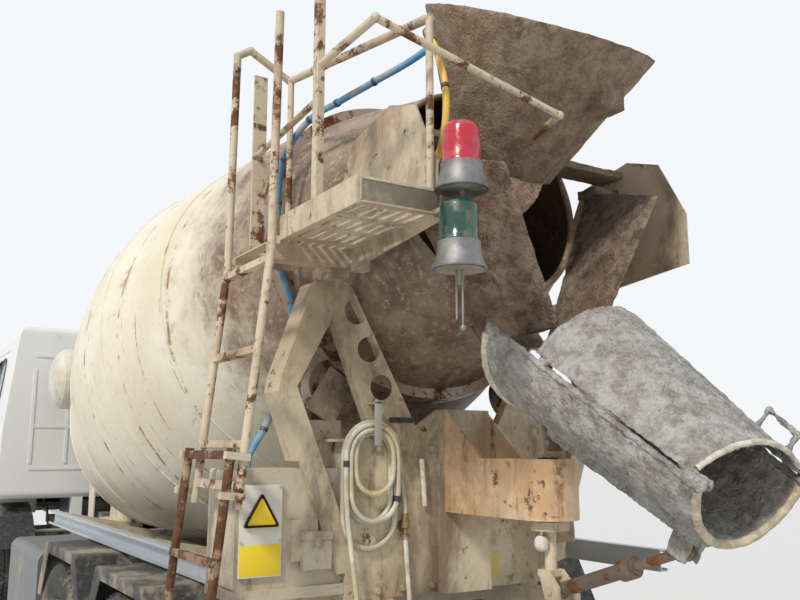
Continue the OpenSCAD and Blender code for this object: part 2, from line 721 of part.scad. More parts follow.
// Platform
deck_rear_x = -240;
deck_side_front_x = 430;
deck_front_x = 830;
deck_in_y = 660;
deck_notch_x = 560;
deck_notch_y = 740;
fascia_h = 95;
slot_w = 22;
slot_pitch = 46;
deck_t = 5;
module platform() {
  z0 = deck_z - 15;
  color("#d9cdb4") from_pivot() {
    // Floor with rows of slots
    difference() {
      block([deck_rear_x, deck_in_y, deck_z], [deck_front_x, deck_y, deck_z + deck_t]);
      block([deck_notch_x, deck_in_y - 1, deck_z - 1], [deck_front_x + 1, deck_notch_y, deck_z + deck_t +
        1]);
      for (y = [deck_in_y + 35 : slot_pitch : deck_y - 40])
        for (x = [deck_rear_x + 60 : 190 : deck_front_x - 180])
        block([x, y, deck_z - 1], [x + 130, y + slot_w, deck_z + deck_t + 1]);
    }
    // Outer fascia, rear plate for the name and the front cross beam
    block([deck_rear_x, deck_y - 6, z0], [deck_side_front_x, deck_y, z0 + fascia_h]);
    block([deck_rear_x - 6, deck_in_y, z0], [deck_rear_x, deck_y, z0 + fascia_h]);
    block([deck_side_front_x, deck_in_y - 100, z0 - 60], [deck_side_front_x + 60, deck_y, z0 + 16]);
    block([deck_front_x - 6, deck_notch_y, z0 - 10], [deck_front_x, deck_y, z0 + 25]);
    block([deck_rear_x - 6, deck_in_y - 6, z0 - 10], [deck_notch_x, deck_in_y, z0 + 40]);
    block([deck_notch_x - 6, deck_in_y - 6, z0 - 10], [deck_notch_x, deck_notch_y, z0 + 40]);
    block([deck_notch_x, deck_notch_y - 6, z0 - 10], [deck_front_x, deck_notch_y, z0 + 40]);
    // Plate frame between the platform and the drum's mouth
    both_sides() plate_xz([
      [-200, 2480], [560, 2400], [560, 2700], [420, 2960], [120, 3020], [-60, 2960], [-200, 2700]
    ], deck_in_y - 10, 8);
  }
}

// Ladder: two tubes, the front one bent over as a hoop rail at the top
ladder_front_x = 825;
ladder_knee_z = 2450;
ladder_knee_y = 1030;
ladder_base_z = 1100;
ladder_slope = 6.3;
ladder_top_z = 3420;
rail_inner_y = 676;
rail_front_y = 764;
upper_rungs = [620, 970, 1320];
slide_y = 50;
slide_play = 1;
guide_heights = [420, 560];
function stile_y(z) = z > ladder_knee_z ? ladder_knee_y - (z - ladder_knee_z) * 0.012 : ladder_knee_y +
  (ladder_knee_z - z) * tan(ladder_slope);

// Local Z runs up along the ladder's tubes from its base, local Y points outwards
module on_ladder() { translate([ladder_front_x, stile_y(ladder_base_z), ladder_base_z])
  rotate([ladder_slope, 0, 0]) children(); }
module rung(z, y) { translate([-ladder_w, y - 9, z - 14]) cube([ladder_w, 32, 28]); }

module upper_ladder() {
  leg = (ladder_knee_z - ladder_base_z) / cos(ladder_slope);
  on_ladder() {
    for (x = [0, -ladder_w]) translate([x, 0, 390]) cylinder(d = ladder_d, h = leg - 390);
    for (z = upper_rungs) rung(z, -10);
    // Guides that hook round the sliding section's tubes from outside
    for (z = guide_heights) for (s = [0, 1]) translate([s * -ladder_w, 0, 0]) mirror([s, 0, 0])
      difference() {
      translate([2, -14, z]) cube([30, slide_y + 42, 26]);
      translate([0, slide_y, z - 1]) cylinder(r = ladder_d / 2 + slide_play, h = 28);
    }
  }
  for (x = [ladder_front_x, ladder_front_x - ladder_w]) {
    translate([x, ladder_knee_y, ladder_knee_z]) sphere(d = ladder_d + 3, $fn = 32);
    rod([x, ladder_knee_y, ladder_knee_z], [x, stile_y(ladder_top_z), ladder_top_z], ladder_d);
  }
}

hand_d = 34;
handrail_z = 3240;
module ladder_rails() {
  y_out = stile_y(ladder_top_z);
  color("#cbb89a") from_pivot() {
    upper_ladder();
    // Hoop over the step
    translate([ladder_front_x, y_out, ladder_top_z]) sphere(d = ladder_d + 3, $fn = 32);
    rod([ladder_front_x, y_out, ladder_top_z], [ladder_front_x, y_out - 60, ladder_top_z + 40], ladder_d);
    translate([ladder_front_x, y_out - 60, ladder_top_z + 40]) sphere(d = ladder_d + 3, $fn = 32);
    rod([ladder_front_x, y_out - 60, ladder_top_z + 40],
      [ladder_front_x, rail_front_y, ladder_top_z - 60], ladder_d);
    translate([ladder_front_x, rail_front_y, ladder_top_z - 60]) sphere(d = ladder_d + 3, $fn = 32);
    // Inner handrail and its posts
    rod([ladder_front_x, rail_front_y, ladder_top_z - 60], [-200, rail_inner_y, handrail_z], hand_d);
    rod([deck_front_x - 22, rail_front_y, deck_z + deck_t],
      [deck_front_x - 22, rail_front_y, ladder_top_z - 66], hand_d - 6);
    rod([-192, rail_inner_y, deck_z + deck_t], [-192, rail_inner_y, handrail_z], hand_d - 6);
    // Flat upright, mid rail and square post
    block([deck_front_x - 50, 890, deck_z + deck_t], [deck_front_x - 38, 950, 3330]);
    rod([deck_front_x - 48, 930, 2960], [85, 980, 2960], 26);
    block([65, deck_y - 34, deck_z + deck_t], [105, deck_y - 6, 3560]);
    rod([85, deck_y - 20, 3090], [deck_rear_x, 930, 3150], 30);
    translate([deck_rear_x, 930, 3150]) sphere(d = 36, $fn = 24);
    rod([deck_rear_x, 930, 3150], [-300, 160, 2940], 28);
    translate([-300, 160, 2940]) sphere(d = 36, $fn = 24);
    rod([-300, 160, 2940], [-150, 160, 2900], 26);
    // Brackets from the ladder to the platform
    for (x = [ladder_front_x - 12, ladder_front_x - ladder_w - 12])
      block([x, deck_y, deck_z - 30], [x + 24, stile_y(deck_z) - 10, deck_z]);
    // Bracket from the ladder's foot to the sign cabinet
    rod([sign_x + 40, stile_y(1565) - 10, 1565], [sign_x + 40, sign_y1 + 0.3, 1565], 30);
    on_ladder() translate([-ladder_w, -10, 452]) cube([ladder_w, 20, 34]);
  }
}

slide_low = -540;
slide_high = 600;
slide_rungs = [-500, -150, 200];
module ladder_lower() {
  color("#b7a284") from_pivot() on_ladder() {
    for (x = [0, -ladder_w]) translate([x, slide_y, slide_low])
      cylinder(d = ladder_d, h = slide_high - slide_low);
    for (z = slide_rungs) rung(z, slide_y);
    translate([-ladder_w, slide_y - 12, slide_high - 40]) cube([ladder_w, 24, 30]);
  }
}

// Chute: local X runs down the chute from its lift pin, local Z stands up from its floor
module on_chute() { translate([0, 0, lift_z]) rotate([0, 0, 180]) rotate([0, chute_slope, 0]) children(); }

mouth_u = -120;
floor_w = 50;
chute_run = chute_len - mouth_u;
chute_taper = atan((chute_r - chute_end_r) / chute_run);
rim_fall = atan((chute_rim_w - chute_rim_end_w) / chute_run);
beam_w = 70;
lift_pin_r = 15;
strut_u = 750;
strut_w = -60;
strut_pin_r = 9;
strut_foot = [-40, 0, 1170];
foot_pin_r = 12;

// Everything above the chute's rims, raised by lift
module above_rims(lift) {
  translate([mouth_u, 0, chute_rim_w + lift]) rotate([0, rim_fall, 0]) translate([-400, -700, 0])
    cube([2000, 1400, 900]);
}
module chute_cone(grow) {
  translate([mouth_u, 0, floor_w + chute_r]) rotate([0, 90 + chute_taper, 0])
    translate([0, 0, grow < 0 ? -60 : 0])
      cylinder(r1 = chute_r + grow + (grow < 0 ? 60 * tan(chute_taper) : 0), r2 = chute_end_r +
        grow - (grow < 0 ? 20 * tan(chute_taper) : 0),
        h = chute_run + (grow < 0 ? 80 : 0), $fn = 72);
}

module chute() {
  rim_end_y = chute_end_r - 4;
  color("#a39a8c") from_pivot() on_chute() difference() {
    union() {
      difference() {
        chute_cone(0);
        chute_cone(-chute_t);
        above_rims(0);
        translate([chute_len - 2, -500, -200]) cube([200, 1000, 900]);
      }
      // Rolled rims
      for (s = [-1, 1]) rod([mouth_u + 10, s * (chute_r - 3), chute_rim_w - 8],
        [chute_len - 6, s * (rim_end_y - 2), chute_rim_end_w - 8], 20);
      // Support beam with the lift eye and the strut's ears
      translate([60, -beam_w / 2, 0]) cube([strut_u + 10, beam_w, floor_w + 10]);
      translate([-20, -beam_w / 2, 8]) cube([120, beam_w, floor_w + 2]);
      rotate([90, 0, 0]) cylinder(r = 32, h = beam_w, center = true);
      for (s = [-1, 1]) translate([strut_u - 40, s > 0 ? 23 : -35, strut_w - 18]) cube([80, 12, 90]);
      translate([strut_u, 0, strut_w]) rotate([90, 0, 0]) cylinder(r = strut_pin_r, h = 64, center = true);
      // Pads on the rims that the folded extension rests on
      for (s = [-1, 1]) translate([mouth_u, 0, chute_rim_w]) rotate([0, rim_fall, 0])
        translate([300, s * 299 - 16, -14]) cube([40, 32, 14 + ext_lift * cos(rim_fall) - 0.3]);
      // Ears and pins of the fold hinge
      for (s = [-1, 1]) {
        translate([fold_u - 70, s * 278 - 6, fold_w - ear_r]) cube([70, 12, 2 * ear_r]);
        translate([fold_u, s * 278, fold_w]) rotate([90, 0, 0]) cylinder(r = ear_r, h = 12, center = true);
        translate([fold_u, s * 264, fold_w]) rotate([90, 0, 0]) cylinder(r = 8, h = 40, center = true);
        translate([fold_u - 90, s * 264 - 14, fold_w - ear_r - 14]) cube([60, 28, 16]);
      }
    }
    rotate([90, 0, 0]) cylinder(r = lift_pin_r + pin_play, h = beam_w + 2, center = true);
  }
}

// Extension, parked upside down on the chute's rims
ext_u0 = 140;
ext_u1 = 870;
ext_rise = 190;
ext_end_rise = 90;
ext_half = 300;
ext_end_half = 246;
ext_lift = 14;
function rim_w_at(u) = chute_rim_w - (u - mouth_u) * tan(rim_fall);
function arc_r(half, rise) = (half * half + rise * rise) / (2 * rise);
ext_r0 = arc_r(ext_half, ext_rise);
ext_r1 = arc_r(ext_end_half, ext_end_rise);
ext_c0 = rim_w_at(ext_u0) + ext_lift + ext_rise - ext_r0;
ext_c1 = rim_w_at(ext_u1) + ext_lift + ext_end_rise - ext_r1;
module ext_cone(grow) {
  run = ext_u1 - ext_u0;
  fall = atan((ext_c0 - ext_c1) / run);
  translate([ext_u0, 0, ext_c0]) rotate([0, 90 + fall, 0])
    translate([0, 0, -160]) cylinder(
      r1 = ext_r0 + grow - 160 * (ext_r1 - ext_r0) / run, r2 = ext_r1 + grow + 60 * (ext_r1 - ext_r0) / run,
      h = run / cos(fall) + 220, $fn = 72);
}
module chute_extension() {
  color("#8f8b84") from_pivot() on_chute() {
    difference() {
      intersection() {
        ext_cone(0);
        above_rims(ext_lift);
        translate([ext_u0, -500, 0]) cube([ext_u1 - ext_u0, 1000, 900]);
      }
      ext_cone(-chute_t);
    }
    for (s = [-1, 1]) difference() {
      union() {
        rod([ext_u0, s * (ext_half - 10), rim_w_at(ext_u0) + ext_lift + 9],
          [ext_u1, s * (ext_end_half - 10), rim_w_at(ext_u1) + ext_lift + 9], 16);
        translate([ext_u1 - 60, s * 248 - 8, fold_w + 6]) cube([fold_u - ext_u1 + 60, 16, 11]);
        translate([fold_u, s * 248, fold_w]) rotate([90, 0, 0]) cylinder(r = 18, h = 16, center = true);
      }
      translate([fold_u, s * 250, fold_w]) rotate([90, 0, 0])
        cylinder(r = 8 + pin_play, h = 30, center = true);
    }
    // Grab handle on the far side
    rod([700, 205, 352], [704, 240, 425], 16);
    rod([704, 240, 425], [830, 235, 398], 16);
    rod([830, 235, 398], [832, 200, 322], 16);
    for (p = [[704, 240, 425], [830, 235, 398]]) translate(p) sphere(d = 20, $fn = 24);
  }
}

module chute_swivel() {
  z1 = arm_z + arm_h;
  cheek_y = beam_w / 2 + 6;
  color("#b9a88c") from_pivot() {
    translate([arm_end_x, 0, arm_z - 40]) cylinder(r = swivel_pin_r, h = arm_h + 60);
    translate([arm_end_x, 0, z1 + 6]) cylinder(r = 62, h = 24);
    difference() {
      for (s = [-1, 1]) plate_xz([[-45, z1 + 8], [45, z1 + 8], [34, lift_z + 30], [-34, lift_z + 30]],
        s * (cheek_y + 8), 16);
      translate([0, 0, lift_z]) rotate([90, 0, 0]) cylinder(r = lift_pin_r - 1, h = 300, center = true);
    }
    translate([0, 0, lift_z]) rotate([90, 0, 0]) cylinder(r = lift_pin_r, h = beam_w + 60, center = true);
    // Stem and fork that carry the strut's foot
    translate([arm_end_x, 0, arm_z - 40]) cylinder(r = 75, h = 34);
    rod([0, 0, arm_z - 30], [0, 0, strut_foot.z + 50], 46);
    for (s = [-1, 1]) plate_xz([
      [strut_foot.x - 45, strut_foot.z - 40], [strut_foot.x + 25, strut_foot.z - 40],
        [26, strut_foot.z + 75],
      [-26, strut_foot.z + 75], [strut_foot.x - 45, strut_foot.z + 20]
    ], s * 38, 12);
    block([-26, -44, strut_foot.z + 50], [26, 44, strut_foot.z + 75]);
    translate(strut_foot) rotate([90, 0, 0]) cylinder(r = foot_pin_r, h = 100, center = true);
  }
}

// Strut from the swivel's fork to the chute: a screw jack with a tube and a rod
strut_top = [
  -strut_u * cos(chute_slope) - strut_w * sin(chute_slope), 0,
  lift_z - strut_u * sin(chute_slope) + strut_w * cos(chute_slope)
];
strut_len = norm(strut_top - strut_foot);
strut_tilt = atan2(strut_top.z - strut_foot.z, strut_top.x - strut_foot.x);
barrel_len = 420;
rod_r = 17;
module on_strut() { translate(strut_foot) rotate([0, 90 - strut_tilt, 0]) children(); }
module strut_barrel() {
  color("#6b6760") from_pivot() on_strut() difference() {
    union() {
      rotate([90, 0, 0]) cylinder(r = 28, h = 52, center = true);
      translate([0, 0, 18]) cylinder(r = 27, h = barrel_len - 18);
      translate([0, 0, barrel_len - 70]) cylinder(r = 38, h = 60);
    }
    rotate([90, 0, 0]) cylinder(r = foot_pin_r + pin_play, h = 54, center = true);
    translate([0, 0, 46]) cylinder(r = rod_r + pin_play, h = barrel_len);
  }
}
module strut_rod() {
  color("#7d5a41") from_pivot() on_strut() difference() {
    union() {
      translate([0, 0, 165]) cylinder(r = rod_r, h = strut_len - 165 - 22);
      translate([0, 0, strut_len]) rotate([90, 0, 0]) cylinder(r = 32, h = 34, center = true);
    }
    translate([0, 0, strut_len]) rotate([90, 0, 0]) cylinder(r = strut_pin_r + 11, h = 36, center = true);
  }
}

// Corner rounding: replaces each corner of an outline by an arc of the given radius
function unit2(v) = v / norm(v);
function round_corner(p0, p1, p2, r, n) =
  let (a = unit2(p0 - p1), b = unit2(p2 - p1), h = acos(a * b) / 2, d = r / tan(h),
    c = p1 + unit2(a + b) * r / sin(h), v0 = p1 + a * d - c, v1 = p1 + b * d - c)
  [for (i = [0 : n]) c + unit2(v0 * (n - i) + v1 * i) * r];
function rounded(points, r, n = 5) =
  let (k = len(points))
  [for (i = [0 : k - 1]) each round_corner(points[(i + k - 1) % k], points[i], points[(i + 1) % k], r, n)];

// Water tank on its stand behind the cab
tank_x = 5900;
tank_z = 2340;
tank_r = 280;
module water_tank() {
  color("#e9e2cf") from_pivot() {
    lying_tank([tank_x, 0, tank_z], tank_r, 1420, 130);
    both_sides() {
      plate_xz([
        [tank_x - 90, frame_top_z], [tank_x + 90, frame_top_z], [tank_x + 130, tank_z - 180],
          [tank_x - 130, tank_z - 180]
      ], 395, 12);
      block([tank_x - 150, 330, tank_z - 215], [tank_x + 150, 440, tank_z - 195]);
      plate_xz([
        [tank_x - 140, tank_z - 200], [tank_x + 140, tank_z - 200], [tank_x + 190, tank_z - 120],
          [tank_x - 190, tank_z - 120]
      ], 395, 40);
    }
    block([tank_x - 40, -395, 1500], [tank_x + 40, 395, 1512]);
    translate([tank_x, 300, tank_z + tank_r - 12]) cylinder(r = 90, h = 50);
  }
}

// Cabinet beside the pedestal whose door carries the warning sign
sign_x = pedestal_x + 28;
sign_y1 = 1040;
sign_z0 = 1160;
sign_z1 = 1620;
module sign_box() {
  color("#c6b99e") from_pivot() {
    translate([sign_x, 0, 0]) rotate([90, 0, 90]) linear_extrude(300)
      polygon(rounded([[box_half, sign_z0], [sign_y1, sign_z0], [sign_y1, sign_z1], [box_half, sign_z1]],
        14, 3));
    block([sign_x - 14, 850, sign_z0 + 50], [sign_x + 2, 1028, sign_z1 - 60]);
    block([sign_x - 26, 696, 1260], [sign_x + 2, 810, 1420]);
    block([sign_x - 20, 560 + 12, sign_z0 - 40], [sign_x + 300, sign_y1 + 4, sign_z0 + 2]);
    block([sign_x + 60, box_half, sign_z0 - 60], [sign_x + 120, sign_y1 - 200, sign_z0 - 20]);
  }
}

// Fuel tank on the left, air tanks and battery case on the right
module side_tanks() {
  color("#5a5d60") from_pivot() {
    translate([4050, 0, 0]) rotate([90, 0, 90]) linear_extrude(1250)
      polygon(rounded([[560, 430], [1150, 430], [1150, 980], [560, 980]], 70));
    for (x = [4250, 4980]) block([x, frame_w / 2, 900], [x + 60, 575, 960]);
    mirror([0, 1, 0]) {
      translate([4300, 0, 0]) rotate([90, 0, 90]) linear_extrude(760)
        polygon(rounded([[560, 500], [1130, 500], [1130, 960], [560, 960]], 20));
      for (x = [4420, 4860]) block([x, frame_w / 2, 880], [x + 60, 570, 940]);
    }
    for (y = [640, 940]) translate([5380, -y, 620]) rotate([0, 90, 0]) cylinder(r = 135, h = 720);
    for (x = [5500, 5880]) block([x, -frame_w / 2 - 600, 740], [x + 40, -frame_w / 2, 775]);
    // Exhaust silencer on the left behind the front wheel
    translate([5450, 760, 640]) rotate([0, 90, 0]) cylinder(r = 190, h = 560);
    block([5700, frame_w / 2, 780], [5740, 760, 810]);
  }
}

guard_half = 640;
guard_z = 1120;
guard_in_y = 625;
guard_out_y = 1225;
function guard_path(o) = rounded([
  [-guard_half - o, 760], [-430 - o * 0.6, guard_z + o], [430 + o * 0.6, guard_z + o],
    [guard_half + o, 760],
  [guard_half - 1, 700], [-guard_half + 1, 700]
], 40, 4);
module rear_guard(x) {
  translate([x, 0, 0]) difference() {
    plate_xz(guard_path(0), (guard_in_y + guard_out_y) / 2, guard_out_y - guard_in_y);
    translate([0, -6, 0]) plate_xz(guard_path(-6), (guard_in_y + guard_out_y) / 2,
      guard_out_y - guard_in_y);
    block([-900, guard_in_y - 1, 600], [900, guard_out_y + 1, 780]);
    plate_xz([[-520, 779], [-330, guard_z - 60], [330, guard_z - 60], [520, 779]], guard_out_y, 30);
  }
  for (s = [-1, 1]) rod([x + s * (guard_half - 12), frame_w / 2, 800],
    [x + s * (guard_half - 12), guard_out_y - 30, 800], 36);
}
arch_r = 655;
module front_arch() {
  translate([front_axle_x, 1160, axle_z]) rotate([90, 0, 0]) rotate([0, 0, 28])
    rotate_extrude(angle = 127, $fn = 96)
    translate([arch_r, 0]) square([6, 340]);
  rod([front_axle_x - 500, frame_w / 2, 940], [front_axle_x - 500, 900, 940], 30);
}
module mudguards() {
  color("#2b2d30") from_pivot() both_sides() {
    rear_guard(mid_axle_x);
    rear_guard(rear_axle_x);
    front_arch();
  }
}

bumper_top_z = 790;
lamp_y = 870;
lamp_z = 640;
module front_bumper() {
  color("#dcd8cf") from_pivot() {
    difference() {
      translate([0, 0, 360]) linear_extrude(bumper_top_z - 360) polygon(rounded([
        [7700, -1150], [front_x - 120, -1150], [front_x, -940], [front_x, 940], [front_x - 120, 1150],
          [7700, 1150]
      ], 60));
      translate([0, 0, 350]) linear_extrude(bumper_top_z - 340) polygon(rounded([
        [7600, -1090], [front_x - 170, -1090], [front_x - 90, -900], [front_x - 90, 900],
          [front_x - 170, 1090], [7600, 1090]
      ], 50));
      both_sides() block([front_x - 200, lamp_y - 160, lamp_z - 80],
        [front_x + 10, lamp_y + 130, lamp_z + 80]);
      block([front_x - 100, -130, frame_top_z - 280], [front_x + 10, 130, bumper_top_z + 10]);
    }
    // Lamp pockets
    both_sides() difference() {
      block([front_x - 210, lamp_y - 180, lamp_z - 100], [front_x - 62, lamp_y + 150, lamp_z + 100]);
      block([front_x - 165, lamp_y - 160, lamp_z - 80], [front_x + 10, lamp_y + 130, lamp_z + 80]);
    }
    // Steps in front of the steered wheels
    both_sides() difference() {
      block([7400, 780, 400], [7760, 1150, 990]);
      block([7440, 830, 470], [7720, 1200, 680]);
      block([7440, 860, 730], [7720, 1200, 930]);
    }
    both_sides() block([7600, frame_w / 2, 800], [7680, 790, 880]);
  }
}

red_lamp = [-330, 640, 2560];
green_lamp = [-330, 655, 2285];
module lamps() {
  color("#a8241f") from_pivot() {
    // Beacon cans on their rod
    for (p = [red_lamp, green_lamp]) translate(p) rotate_extrude() polygon([
      [0, 0], [82, 0], [70, 30], [62, 90], [62, 200], [52, 225], [0, 232]
    ]);
    rod(green_lamp + [0, 0, -50], red_lamp + [0, 0, 5], 16);
    block([red_lamp.x - 8, red_lamp.y - 8, 2480], [deck_rear_x - 6, red_lamp.y + 60, 2500]);
    block([red_lamp.x - 8, red_lamp.y + 20, 2484], [deck_rear_x - 6, red_lamp.y + 70, 2500]);
    both_sides() {
      // Headlamp and tail lamp
      translate([front_x - 164.7, 0, 0]) rotate([90, 0, 90]) linear_extrude(90)
        polygon(rounded([[lamp_y - 140, lamp_z - 65], [lamp_y + 110, lamp_z - 65],
          [lamp_y + 110, lamp_z + 65], [lamp_y - 140, lamp_z + 65]], 30));
      block([frame_tail_x - 60, 480, 760], [frame_tail_x, 900, 900]);
      block([frame_tail_x, frame_w / 2, 790], [frame_tail_x + 60, 520, 860]);
    }
  }
}

// Hoses that are clipped along their whole way: [diameter, route]
hose_runs = [
  [30, [[800, 925, 1620.6], [800, 924, 1660], [798, 900, 1710], [792, 860, 1780], [796, 760, 2030],
    [806, 740, 2330], [862, 772, 2490],
    [900, 775, 2800], [880, 760, 3000], [740, 700, 3160], [590, 640, 3200], [370, 580, 3230],
      [230, 500, 3280], [150, 440, 3330]]],
  [26, [[-70, 633.4, 2610], [-110, 600, 2720], [-170, 600, 2830], [-180, 600, 3000], [-130, 590, 3120],
    [-70, 580, 3230],
    [0, 560, 3300], [60, 520, 3320]]]
];
hose_sides = 10;
function tangent(path, i) = let (a = path[max(i - 1, 0)], b = path[min(i + 1, len(path) - 1)]) (b - a)
  / norm(b - a);
function side_of(t) = let (u = cross(t, abs(t.z) < 0.9 ? [0, 0, 1] : [1, 0, 0])) u / norm(u);
function spline_at(p0, p1, p2, p3, t) = 0.5 * (2 * p1 + (p2 - p0) * t + (2 * p0 - 5 * p1 + 4 * p2 - p3)
  * t * t
  + (3 * p1 - p0 - 3 * p2 + p3) * t * t * t);
function smooth_path(p, steps) = let (n = len(p)) concat([for (i = [0 : n - 2]) for (k = [0 : steps - 1])
  spline_at(p[max(i - 1, 0)], p[i], p[i + 1], p[min(i + 2, n - 1)], k / steps)], [p[n - 1]]);
module hose(route, d, steps = 3) {
  path = smooth_path(route, steps);
  n = len(path);
  sides = hose_sides;
  points = [for (i = [0 : n - 1]) let (t = tangent(path, i), u = side_of(t), v = cross(t, u))
    for (k = [0 : sides - 1]) path[i] + d / 2 * (cos(360 * k / sides) * u + sin(360 * k / sides) * v)];
  faces = concat(
    [[for (k = [sides - 1 : -1 : 0]) k]],
    [for (i = [0 : n - 2]) for (k = [0 : sides - 1])
      [i * sides + k, i * sides + (k + 1) % sides, (i + 1) * sides + (k + 1) % sides, (i + 1) * sides + k]],
    [[for (k = [0 : sides - 1]) (n - 1) * sides + k]]
  );
  polyhedron(points, faces, convexity = 6);
}
module hoses() {
  color("#3f8fc8") from_pivot() for (h = hose_runs) hose(h[1], h[0]);
}

// Wash-down hose: an oval coil hung on the pedestal's hook, one end on a tap, the other with its nozzle
hose_d = 22;
coil_y = 455;
coil_z = 1560;
coil_r = 150;
coil_half = 130;
coil_x0 = pedestal_x - 78;
coil_x1 = pedestal_x;
module oval(r, half) {
  for (s = [-1, 1]) translate([0, s * half]) circle(r = r, $fn = 48);
  square([2 * r, 2 * half], center = true);
}
module hose_coil() {
  color("#d9cf9a") from_pivot() translate([coil_x0, coil_y, coil_z]) rotate([90, 0, 90])
    linear_extrude(coil_x1 - coil_x0) difference() {
      oval(coil_r, coil_half);
      oval(coil_r - 78, coil_half);
    }
}
module hose_tail() {
  color("#d9cf9a") from_pivot() hose([[coil_x0 - hose_d / 2, 570, 1600], [coil_x0 - hose_d / 2, 566, 1400],
    [coil_x0 - hose_d / 2, 560, 1250], [530, 540, 1130], [545, 520, 1060]], hose_d, 2);
}

// Cab: outlines drawn inwards by i from the outer skin
cab_front_x = 8050;
cab_chin_z = 1020;
cab_nose_x = 7560;
cab_top_half = cab_w / 2 - 110;
function cab_side(i) = rounded([
  [cab_rear_x + i, cab_floor_z + i], [cab_nose_x + i, cab_floor_z + i], [cab_nose_x + i, cab_chin_z + i],
  [cab_front_x - i, cab_chin_z + i], [cab_front_x + 10 - i, 1600],
    [cab_front_x - 260 - i, cab_roof_z - 110],
  [cab_front_x - 420, cab_roof_z - i], [cab_rear_x + i, cab_roof_z - i]
], 60 - i / 2, 4);
function cab_front(i) = rounded([
  [-cab_w / 2 + i, cab_chin_z + i], [cab_w / 2 - i, cab_chin_z + i], [cab_w / 2 - i, 1850],
  [cab_top_half - i, cab_roof_z - i], [-cab_top_half + i, cab_roof_z - i], [-cab_w / 2 + i, 1850]
], 110 - i, 5);
module cab_solid(i) {
  intersection() {
    plate_xz(cab_side(i), 0, cab_w + 100);
    plate_yz(cab_front(i), cab_rear_x - 50, cab_front_x - cab_rear_x + 200);
  }
}
module cab_skin() {
  difference() {
    cab_solid(0);
    cab_solid(cab_wall);
  }
}

// Door outline, drawn inwards by i, and its window
door_rear_x = 6900;
door_front_x = 7790;
door_top_z = 2680;
door_low_z = 1275;
function door_outline(i) = rounded([
  [door_rear_x + i, door_low_z + i], [door_front_x - i, door_low_z + i], [door_front_x - i, 1820],
  [door_front_x - 190 - i, door_top_z - i], [door_rear_x + i, door_top_z - i]
], 45, 4);
function window_outline(i) = rounded([
  [door_rear_x + 80 + i, 1960 + i], [door_front_x - 90 - i, 1900 + i],
    [door_front_x - 250 - i, door_top_z - 80 - i],
  [door_rear_x + 80 + i, door_top_z - 80 - i]
], 40, 4);
screen_outline = rounded([[-970, 1850], [970, 1850], [900, 2640], [-900, 2640]], 70, 4);
side_y = cab_w / 2 - 80;
side_t = 300;
hinge_y = cab_w / 2 + 20;
hinge_heights = [1380, 1700];
grille_slats = [1120 : 85 : 1480];

cab_pivot = [7850, 0, 1050];
module rear_ribs() {
  // Pressed ribs of the rear wall
  for (r = [[-880, 1560, 26, 900], [-560, 1560, 26, 1000], [560, 1560, 26, 1000], [880, 1560, 26, 900]])
    block([cab_rear_x - 8, r[0], r[1]], [cab_rear_x + 4, r[0] + r[2], r[1] + r[3]]);
  for (z = [1500, 1900, 2580]) block([cab_rear_x - 8, -900, z], [cab_rear_x + 4, 900, z + 26]);
}

module cab_shell() {
  color("#e4e2dc") from_pivot() {
    difference() {
      cab_skin();
      both_sides() plate_xz(door_outline(0), side_y, side_t);
      plate_yz(screen_outline, cab_front_x - 380, 500);
      for (z = grille_slats) block([cab_front_x - 120, -720, z], [cab_front_x + 60, 720, z + 45]);
      // Opening over the engine
      block([cab_nose_x - 700, -360, cab_floor_z - 10], [cab_front_x - 120, 360, cab_floor_z + cab_wall +
        10]);
      block([cab_nose_x - 10, -600, cab_chin_z - 10], [cab_front_x - 120, 600, cab_floor_z + 20]);
    }
    rear_ribs();
    // Hinge pins of the doors on their brackets
    both_sides() for (z = hinge_heights) {
      translate([door_front_x + 4, hinge_y, z - 46]) cylinder(r = 7, h = 92);
      for (dz = [-46, 32]) block([door_front_x + 2, cab_w / 2 - 20, z + dz],
        [door_front_x + 40, hinge_y + 12, z + dz + 14]);
    }
    // Mirror arms and housings
    both_sides() {
      rod([7800, cab_w / 2 - 85, 2440], [door_front_x + 90, cab_w / 2 + 190, 2420], 22);
      rod([7830, cab_w / 2 - 35, 2000], [door_front_x + 90, cab_w / 2 + 190, 2060], 22);
      translate([door_front_x + 90, cab_w / 2 + 180, 1980]) rotate([0, 0, 0]) linear_extrude(500)
        polygon(rounded([[-40, -60], [50, -60], [20, 70], [-40, 70]], 20, 3));
    }
    // Pivot lugs in front and a rest behind
    both_sides() difference() {
      union() {
        plate_xz([[7850, 1010], [8020, 1030], [8020, 1180], [7850, 1090]], 458, 20);
        translate([cab_pivot.x, 458, cab_pivot.z]) rotate([90, 0, 0])
          cylinder(r = 40, h = 20, center = true);
      }
      translate([cab_pivot.x, 458, cab_pivot.z]) rotate([90, 0, 0])
        cylinder(r = 15 + pin_play, h = 30, center = true);
    }
    both_sides() block([cab_rear_x + 20, 380, frame_top_z + 0.3],
      [cab_rear_x + 120, 480, cab_floor_z + 10]);
  }
}

module cab_glass() {
  color([0.4, 0.5, 0.55, 0.5]) from_pivot() intersection() {
    difference() {
      cab_solid(12);
      cab_solid(18);
    }
    plate_yz(rounded([[-969.7, 1850.3], [969.7, 1850.3], [899.7, 2639.7], [-899.7, 2639.7]], 70, 4),
      cab_front_x - 380, 500);
  }
}

